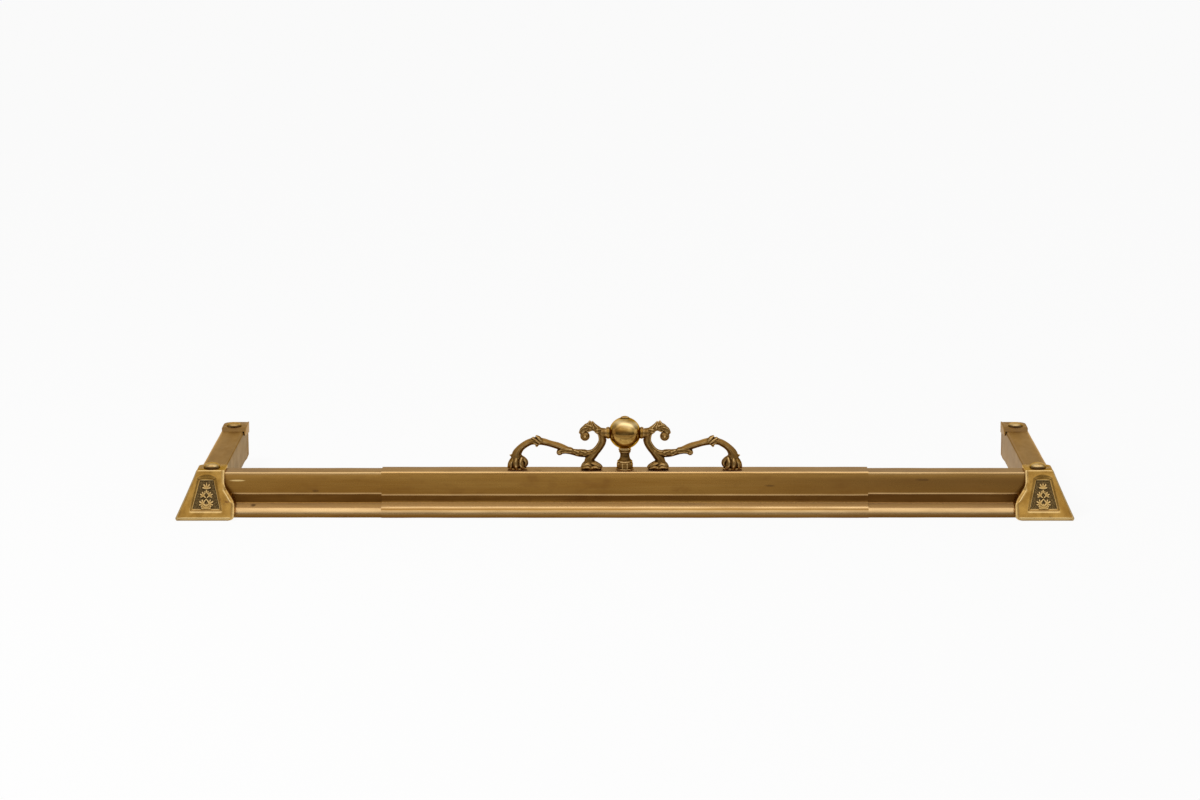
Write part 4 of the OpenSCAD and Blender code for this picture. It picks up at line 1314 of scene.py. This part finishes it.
def sheet_finish(name, along):
    """Old rolled brass: streaks along its length, brown tarnish, dark spots and worn edges, with painted
    highlights, painted shade, painted sheen and a painted reflection.
    """
    f = Finish(name, (0.84, 0.66, 0.42))
    long = tuple(0.12 if axis == along else 1.0 for axis in "xyz")
    hair = tuple(0.01 if axis == along else 1.0 for axis in "xyz")
    cloud = f.noise(14, 5, 0.6, long)
    patch = f.noise(55, 6, 0.65, tuple(0.5 if axis == along else 1.0 for axis in "xyz"))
    speck = f.noise(420, 3, 0.6)
    hairline = f.noise(900, 3, 0.7, hair)
    f.colour = f.mix(f.between(cloud, 0.35, 0.68), (0.270, 0.125, 0.022), (0.375, 0.200, 0.045))
    f.over(f.between(patch, 0.52, 0.72, 0, 0.6), (0.225, 0.098, 0.020))
    f.over(f.between(hairline, 0.35, 0.75, 0, 0.2), (0.460, 0.280, 0.090))
    f.over(f.between(speck, 0.68, 0.78, 0, 0.45), (0.120, 0.055, 0.018))
    if along == "x":
        # painted shade, darker towards the right
        f.over(f.between(f.axis("X"), 0.05, 0.45, 0, 0.75), (0.200, 0.095, 0.024))
    # painted shade on the lower fascia
    f.over(f.times(f.attribute("low"), 0.55), (0.215, 0.100, 0.018))
    # painted light on the upper fascia
    painted_upper_light = f.patchy("high", f.noise(30, 4, 0.6, long), 0.3, 0.65, 0.15, 0.75)
    f.over(painted_upper_light, (0.520, 0.280, 0.070))
    # dust on upward faces with a painted sheen, paler on the rails' ledges than on the arms' tops
    dust_and_sheen = f.times(f.facing_up(), f.between(f.noise(38, 5, 0.6, long), 0.3, 0.7, 0.5, 0.9))
    f.over(dust_and_sheen, (0.295, 0.205, 0.138) if along == "x" else (0.235, 0.140, 0.068))
    dull = f.patchy("dull", f.noise(24, 4, 0.6), 0.3, 0.7, 0.6, 0.95)
    # the back flange's dull grey is painted darker at the left and lighter at the right: painted shade and
    # painted light on twin faces
    flange = f.mix(f.between(f.axis("X"), -0.2, 0.2), (0.185, 0.142, 0.115), (0.340, 0.260, 0.210))
    f.over(dull, flange)
    # worn brass, with painted highlights on the ledge edge, the drip line and the roll nose
    wear = f.patchy("wear", f.noise(70, 4, 0.6, long), 0.25, 0.65, 0.55, 1.0)
    f.over(f.times(wear, 0.9), (0.760, 0.520, 0.255))
    # painted shade in the recess, at the foot and under the ledge
    grime = f.patchy("grime", f.noise(60, 4, 0.6, long), 0.2, 0.6, 0.7, 1.0)
    f.over(f.times(grime, 0.92), (0.100, 0.038, 0.006))
    # flat finish on the roll top, whose paler colour is a painted sheen
    matt = f.patchy("matt", f.noise(45, 4, 0.6, long), 0.2, 0.6, 0.7, 1.0)
    f.over(matt, (0.440, 0.250, 0.082))
    f.feed(f.shader.inputs["Metallic"], f.math("SUBTRACT", 1.0, f.times(matt, 0.75)))
    if along == "x":
        stain = 0.0
        # a painted reflection on the left rail's fascia
        f.over(f.times(f.spot(*PAINTED_REFLECTION_PATCH, 0.3), 0.9), (0.900, 0.640, 0.270))
        for place, size, depth in STAINS:
            stain = f.math("MAXIMUM", stain, f.times(f.spot(place, size), depth))
        f.over(stain, (0.085, 0.040, 0.016))
    rough = f.between(patch, 0.3, 0.75, 0.24, 0.36)
    rough = f.plus(rough, f.times(grime, 0.2))
    rough = f.plus(rough, f.times(f.math("MAXIMUM", dust_and_sheen, dull), 0.14))
    rough = f.plus(rough, f.times(matt, 0.25))
    rough = f.math("SUBTRACT", rough, f.times(wear, 0.06), clamp=True)
    normal = f.bump(f.noise(16, 2, 0.5, long), 0.35, 1.0)
    normal = f.bump(hairline, 0.10, 0.05, normal)
    normal = f.bump(f.between(speck, 0.62, 0.75), 0.25, 0.05, normal)
    return f.finish(rough, normal)


def cast_finish(name):
    """Golden casting brass, dark in the sunk panels, with its ornament worn pale, painted highlights on
    ridges and edges, and painted shade in creases, along the side and mitre, and at the hearth.
    """
    f = Finish(name, (0.78, 0.56, 0.28))
    cloud = f.noise(45, 5, 0.6)
    patch = f.noise(150, 5, 0.65)
    speck = f.noise(700, 3, 0.6)
    pebble = f.cells(620)
    ridge = f.attribute("ridge")
    recess = f.attribute("recess")
    relief = f.attribute("relief")
    grime = f.attribute("grime")
    f.colour = f.mix(f.between(cloud, 0.35, 0.68), (0.270, 0.138, 0.026), (0.400, 0.225, 0.052))
    f.over(f.between(patch, 0.58, 0.76, 0, 0.45), (0.200, 0.098, 0.026))
    f.over(f.between(f.noise(60, 3, 0.55), 0.70, 0.75, 0, 0.7), (0.130, 0.050, 0.018))
    # worn ridges with painted highlights, and painted shade in creases
    f.over(f.between(ridge, 0.60, 0.85, 0, 0.7), (0.760, 0.560, 0.260))
    f.over(f.between(ridge, 0.42, 0.22, 0, 0.6), (0.130, 0.070, 0.024))
    f.over(f.times(f.facing_up(), 0.75), (0.270, 0.165, 0.075))
    # painted shade beside the rail, along the mitre and at the hearth
    f.over(f.times(grime, 0.92), (0.070, 0.032, 0.010))
    dark = f.times(recess, f.between(relief, 0.10, 0.60, 1.0, 0.10))
    olive = f.mix(f.between(pebble, 0.2, 0.6), (0.185, 0.125, 0.052), (0.065, 0.042, 0.017))
    f.over(f.times(dark, 0.92), olive)
    pale = f.times(recess, f.between(relief, 0.45, 1.0, 0, 0.7))
    f.over(pale, (0.520, 0.345, 0.130))
    # worn edges, with painted highlight lines along the ridge, the edges and the bead
    rubbed = f.patchy("rubbed", f.noise(90, 4, 0.6), 0.3, 0.6, 0.35, 1.0)
    f.over(f.times(rubbed, 0.6), (0.700, 0.460, 0.170))
    rough = f.between(patch, 0.3, 0.75, 0.22, 0.34)
    rough = f.plus(rough, f.times(dark, 0.2), clamp=True)
    normal = f.bump(f.noise(120, 3, 0.5), 0.30, 0.30)
    normal = f.bump(f.times(dark, pebble), 0.6, 0.35, normal)
    normal = f.bump(speck, 0.22, 0.06, normal)
    return f.finish(rough, normal)


def dark_cast_finish(name):
    """Casting brass dark in its hollows from patina and painted shade, and golden bronze on its ridges from
    worn brass and painted highlights.
    """
    f = Finish(name, (0.70, 0.50, 0.26))
    ridge = f.attribute("ridge")
    cloud = f.noise(90, 5, 0.6)
    lifted = f.plus(ridge, f.times(f.math("SUBTRACT", cloud, 0.5), 0.3))
    # painted shade in hollows over patina, and painted highlights on ridges over worn brass
    f.colour = f.mix(f.between(lifted, 0.28, 0.50), (0.045, 0.022, 0.007), (0.200, 0.104, 0.026))
    f.over(f.between(lifted, 0.55, 0.80), (0.620, 0.410, 0.170))
    f.over(f.between(f.noise(600, 3), 0.64, 0.76, 0, 0.4), (0.090, 0.048, 0.018))
    rough = f.between(lifted, 0.3, 0.85, 0.40, 0.22)
    normal = f.bump(f.noise(200, 3, 0.5), 0.14, 0.20)
    normal = f.bump(f.noise(1100, 2, 0.5), 0.08, 0.05, normal)
    return f.finish(rough, normal)


def ball_finish(name):
    """Polished brass that has spotted brown, with a painted dark reflection round its middle, a painted
    highlight on top, and painted shade by the button, collars and cup.
    """
    f = Finish(name, (0.68, 0.48, 0.24))
    cloud = f.noise(60, 5, 0.6, (1, 1, 1.6))
    spots = f.noise(210, 5, 0.7)
    f.colour = f.mix(f.between(cloud, 0.35, 0.65), (0.300, 0.160, 0.034), (0.540, 0.335, 0.095))
    f.over(f.between(spots, 0.54, 0.70, 0, 0.55), (0.160, 0.078, 0.022))
    f.over(f.between(f.noise(800, 3), 0.62, 0.76, 0, 0.5), (0.080, 0.040, 0.014))
    # painted dark reflection band round the middle
    f.over(f.patchy("band", cloud, 0.2, 0.6, 0.8, 0.5), (0.180, 0.075, 0.012))
    # painted highlight on the upper part
    f.over(f.times(f.attribute("crown"), 0.7), (0.880, 0.680, 0.350))
    # painted shade by the button, collars and cup
    f.over(f.times(f.attribute("grime"), 0.92), (0.060, 0.030, 0.010))
    rough = f.between(spots, 0.35, 0.7, 0.06, 0.18)
    normal = f.bump(f.noise(60, 2, 0.5), 0.16, 0.4)
    normal = f.bump(spots, 0.12, 0.06, normal)
    return f.finish(rough, normal)


def knob_finish(name):
    """Brighter brass of the domed nuts, with painted shade towards the rim."""
    f = Finish(name, (0.70, 0.50, 0.26))
    cloud = f.noise(120, 4, 0.6)
    f.colour = f.mix(f.between(cloud, 0.35, 0.65), (0.430, 0.260, 0.090), (0.600, 0.420, 0.190))
    f.over(f.between(f.noise(420, 4), 0.56, 0.70, 0, 0.5), (0.180, 0.095, 0.036))
    # painted shade towards the rim
    f.over(f.times(f.attribute("grime"), 0.88), (0.110, 0.060, 0.020))
    rough = f.between(cloud, 0.3, 0.7, 0.12, 0.24)
    normal = f.bump(f.noise(300, 3, 0.5), 0.12, 0.1)
    return f.finish(rough, normal)


def steel_finish(name):
    """Dull zinc-grey steel with rust coming through."""
    f = Finish(name, (1, 1, 1))
    cloud = f.noise(130, 5, 0.65)
    f.colour = f.mix(f.between(cloud, 0.35, 0.65), (0.200, 0.195, 0.190), (0.340, 0.335, 0.325))
    f.over(f.between(f.noise(260, 5, 0.7), 0.54, 0.66, 0, 0.85), (0.150, 0.062, 0.026))
    rough = f.between(cloud, 0.3, 0.7, 0.42, 0.66)
    normal = f.bump(f.noise(500, 4, 0.6), 0.3, 0.1)
    return f.finish(rough, normal)


def dress(piece, material):
    piece.data.materials.clear()
    piece.data.materials.append(material)


# ---------------------------------------------------------------- put together


def add_piece(piece, node, body, material):
    dress(piece, material)
    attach(piece, body)
    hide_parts(node)


def add_pair(piece, node, body, material):
    """Adds a left piece and its twin. Each rides its own side's body, or the one that both share."""
    for side, half in (("left", piece), ("right", None)):
        half = half or mirrored(piece, piece.name.replace("left", side))
        add_piece(half, f"{side}_{node}", body.format(side), material)


def make_object():
    sheet_x = sheet_finish("rolled_brass_along_x", "x")
    sheet_y = sheet_finish("rolled_brass_along_y", "y")
    cast = cast_finish("casting_brass")
    dark = dark_cast_finish("dark_casting_brass")
    ball = ball_finish("spotted_brass")
    knob = knob_finish("polished_brass")
    steel = steel_finish("dull_steel")

    for node, piece in make_sheet_pieces().items():
        side = node.split("_")[0]
        body = "centre" if side == "centre" else side + "_end"
        add_piece(piece, node, body, sheet_y if node.endswith("arm") else sheet_x)

    corner = drill(make_corner(), front_y + ledge_mid)
    end_cap = drill(make_end_cap(), (end_knob_low[1] + end_knob_high[1]) / 2)
    corner_dome = make_knob("left_corner_dome", knob_low, knob_high)
    end_dome = make_knob("left_end_dome", end_knob_low, end_knob_high)
    add_pair(corner, "corner", "{}_end", cast)
    add_pair(end_cap, "end_cap", "{}_end", sheet_y)
    add_pair(corner_dome, "corner_knob", "{}_end", knob)
    add_pair(end_dome, "end_knob", "{}_end", knob)

    scroll = make_scroll()
    collar = make_collar()
    add_pair(scroll, "scroll", "centre", dark)
    add_pair(collar, "collar", "centre", cast)

    add_piece(make_ball(), "finial_ball", "centre", ball)
    add_piece(make_bolt(), "finial_bolt", "centre", knob)
    add_piece(make_stem(), "finial_stem", "centre", dark)

    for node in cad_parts.values():
        if not node.hide_render:
            dress(node, steel)


# ---------------------------------------------------------------- camera, floor and light

FOCAL_PX = 3600.0
IMAGE_W = 1200.0
CAMERA_PLACE = (0.0, -5.0697, 1.119)
CAMERA_PITCH = 10.98
CAMERA_SHIFT_X = -0.0207


def make_camera():
    data = bpy.data.cameras.new("camera")
    data.sensor_width = 36.0
    data.lens = data.sensor_width * FOCAL_PX / IMAGE_W
    data.shift_x = CAMERA_SHIFT_X
    camera = bpy.data.objects.new("camera", data)
    camera.location = CAMERA_PLACE
    camera.rotation_euler = (math.radians(90 - CAMERA_PITCH), 0, 0)
    bpy.context.scene.collection.objects.link(camera)
    bpy.context.scene.camera = camera


def blend(nodes, output, light, seen, share=1.0):
    """Ends a tree: one shader lights the object, and a share of the other is what rays see directly."""
    path = nodes.add("LightPath").outputs
    direct = nodes.math("MAXIMUM", path["Is Camera Ray"], path["Is Glossy Ray"])
    direct = nodes.math("MAXIMUM", direct, path["Is Transmission Ray"])
    mix = nodes.add("MixShader", nodes.times(direct, share), light.outputs[0], seen.outputs[0])
    nodes.add(output, mix.outputs[0])


FLOOR_HALF = 30000.0
FLOOR_WHITE = 0.93      # how much of the floor is plain white to the eye; the rest holds the shadow


def make_floor():
    """A pale floor that turns to plain white for the camera, and keeps a soft shadow."""
    corners = [[x * FLOOR_HALF, y * FLOOR_HALF, 0] for x, y in ((-1, -1), (1, -1), (1, 1), (-1, 1))]
    floor = build("floor", corners, [(0, 1, 2, 3)], 0)
    material = bpy.data.materials.new("floor")
    nodes = Nodes(material)
    diffuse = nodes.add("BsdfDiffuse", (0.80, 0.80, 0.79))
    blend(nodes, "OutputMaterial", diffuse, nodes.add("Emission", (1, 1, 1)), FLOOR_WHITE)
    dress(floor, material)


def make_world():
    """White behind the object, and a plain level of light from all round."""
    world = bpy.data.worlds.new("studio")
    bpy.context.scene.world = world
    nodes = Nodes(world)
    light = nodes.add("Background", (1, 0.99, 0.97), 0.45)
    blend(nodes, "OutputWorld", light, nodes.add("Background", (1, 1, 1)))


# Brightness of the studio round the object, by the angle above the front horizon in degrees
TENT = ((0, 0.32), (10, 0.38), (18, 0.50), (26, 0.92), (34, 1.28), (44, 1.45), (54, 1.35), (62, 1.25),
        (68, 1.75), (82, 1.85), (91, 1.10), (106, 0.88), (125, 0.84), (140, 0.88), (165, 0.96))
TENT_R = 3200.0
# Its share of that, by the place along X
TENT_SHADE = ((-9000, 0.5), (-4500, 0.6), (-1800, 1.0), (1800, 1.0), (4500, 0.55), (9000, 0.45))
# The same for the table in front of it, by the place along Y
TABLE = ((-300, 0.60), (-340, 0.68), (-400, 0.86), (-480, 1.0), (-540, 0.98), (-700, 0.36), (-3200, 0.34))
TABLE_Z = 1.5
# The table's share of that brightness, by the place along X
TABLE_SHADE = ((-9000, 1.0), (-500, 1.0), (100, 1.0), (420, 0.82), (620, 0.72), (9000, 0.72))


def make_tent():
    """Soft screens over the object and a table before it, seen only in its reflections."""
    angles = np.linspace(0, TENT[-1][0], 90)
    table_y, table_level = np.transpose(TABLE)
    across = np.union1d(np.transpose(TABLE_SHADE)[0], np.transpose(TENT_SHADE)[0])
    profile = [(y, TABLE_Z) for y in table_y[:-1]]
    profile += [(-TENT_R * math.cos(a), TABLE_Z + TENT_R * math.sin(a)) for a in np.radians(angles)]
    tent_level = np.interp(angles, *np.transpose(TENT))
    level = np.outer(np.concatenate([table_level[:-1], tent_level]), np.ones(len(across)))
    level[:len(table_y) - 1] *= np.interp(across, *np.transpose(TABLE_SHADE))
    level[len(table_y) - 1:] *= np.interp(across, *np.transpose(TENT_SHADE))
    points = [[x, y, z] for y, z in profile for x in across]
    wide = len(across)
    faces = [(i + j, i + j + 1, i + j + 1 + wide, i + j + wide)
             for i in range(0, (len(profile) - 1) * wide, wide) for j in range(wide - 1)]
    tent = build("tent", points, faces, 0)
    store(tent, "level", level.ravel())
    material = bpy.data.materials.new("tent")
    nodes = Nodes(material)
    glow = nodes.add("Emission")
    nodes.feed(glow.inputs["Strength"], nodes.add("Attribute", attribute_name="level").outputs["Fac"])
    nodes.add("OutputMaterial", glow.outputs[0])
    dress(tent, material)
    tent.visible_camera = False
    tent.visible_diffuse = False
    tent.visible_shadow = False


LAMP_TARGET = Vector((0, 0, 0.05))


def add_lamp(name, place, size, power):
    """A soft lamp, in metres and watts, that shines on the middle of the object."""
    data = bpy.data.lights.new(name, "AREA")
    data.shape = "RECTANGLE"
    data.size, data.size_y = size
    data.energy = power
    lamp = bpy.data.objects.new(name, data)
    lamp.location = place
    lamp.rotation_euler = (LAMP_TARGET - Vector(place)).to_track_quat("-Z", "Y").to_euler()
    lamp.visible_camera = False
    lamp.visible_glossy = False
    bpy.context.scene.collection.objects.link(lamp)


make_camera()
make_floor()
make_world()
make_tent()
add_lamp("key", (-1.6, -1.9, 2.6), (1.2, 0.9), 60)
bpy.context.scene.view_settings.view_transform = "Standard"
make_object()
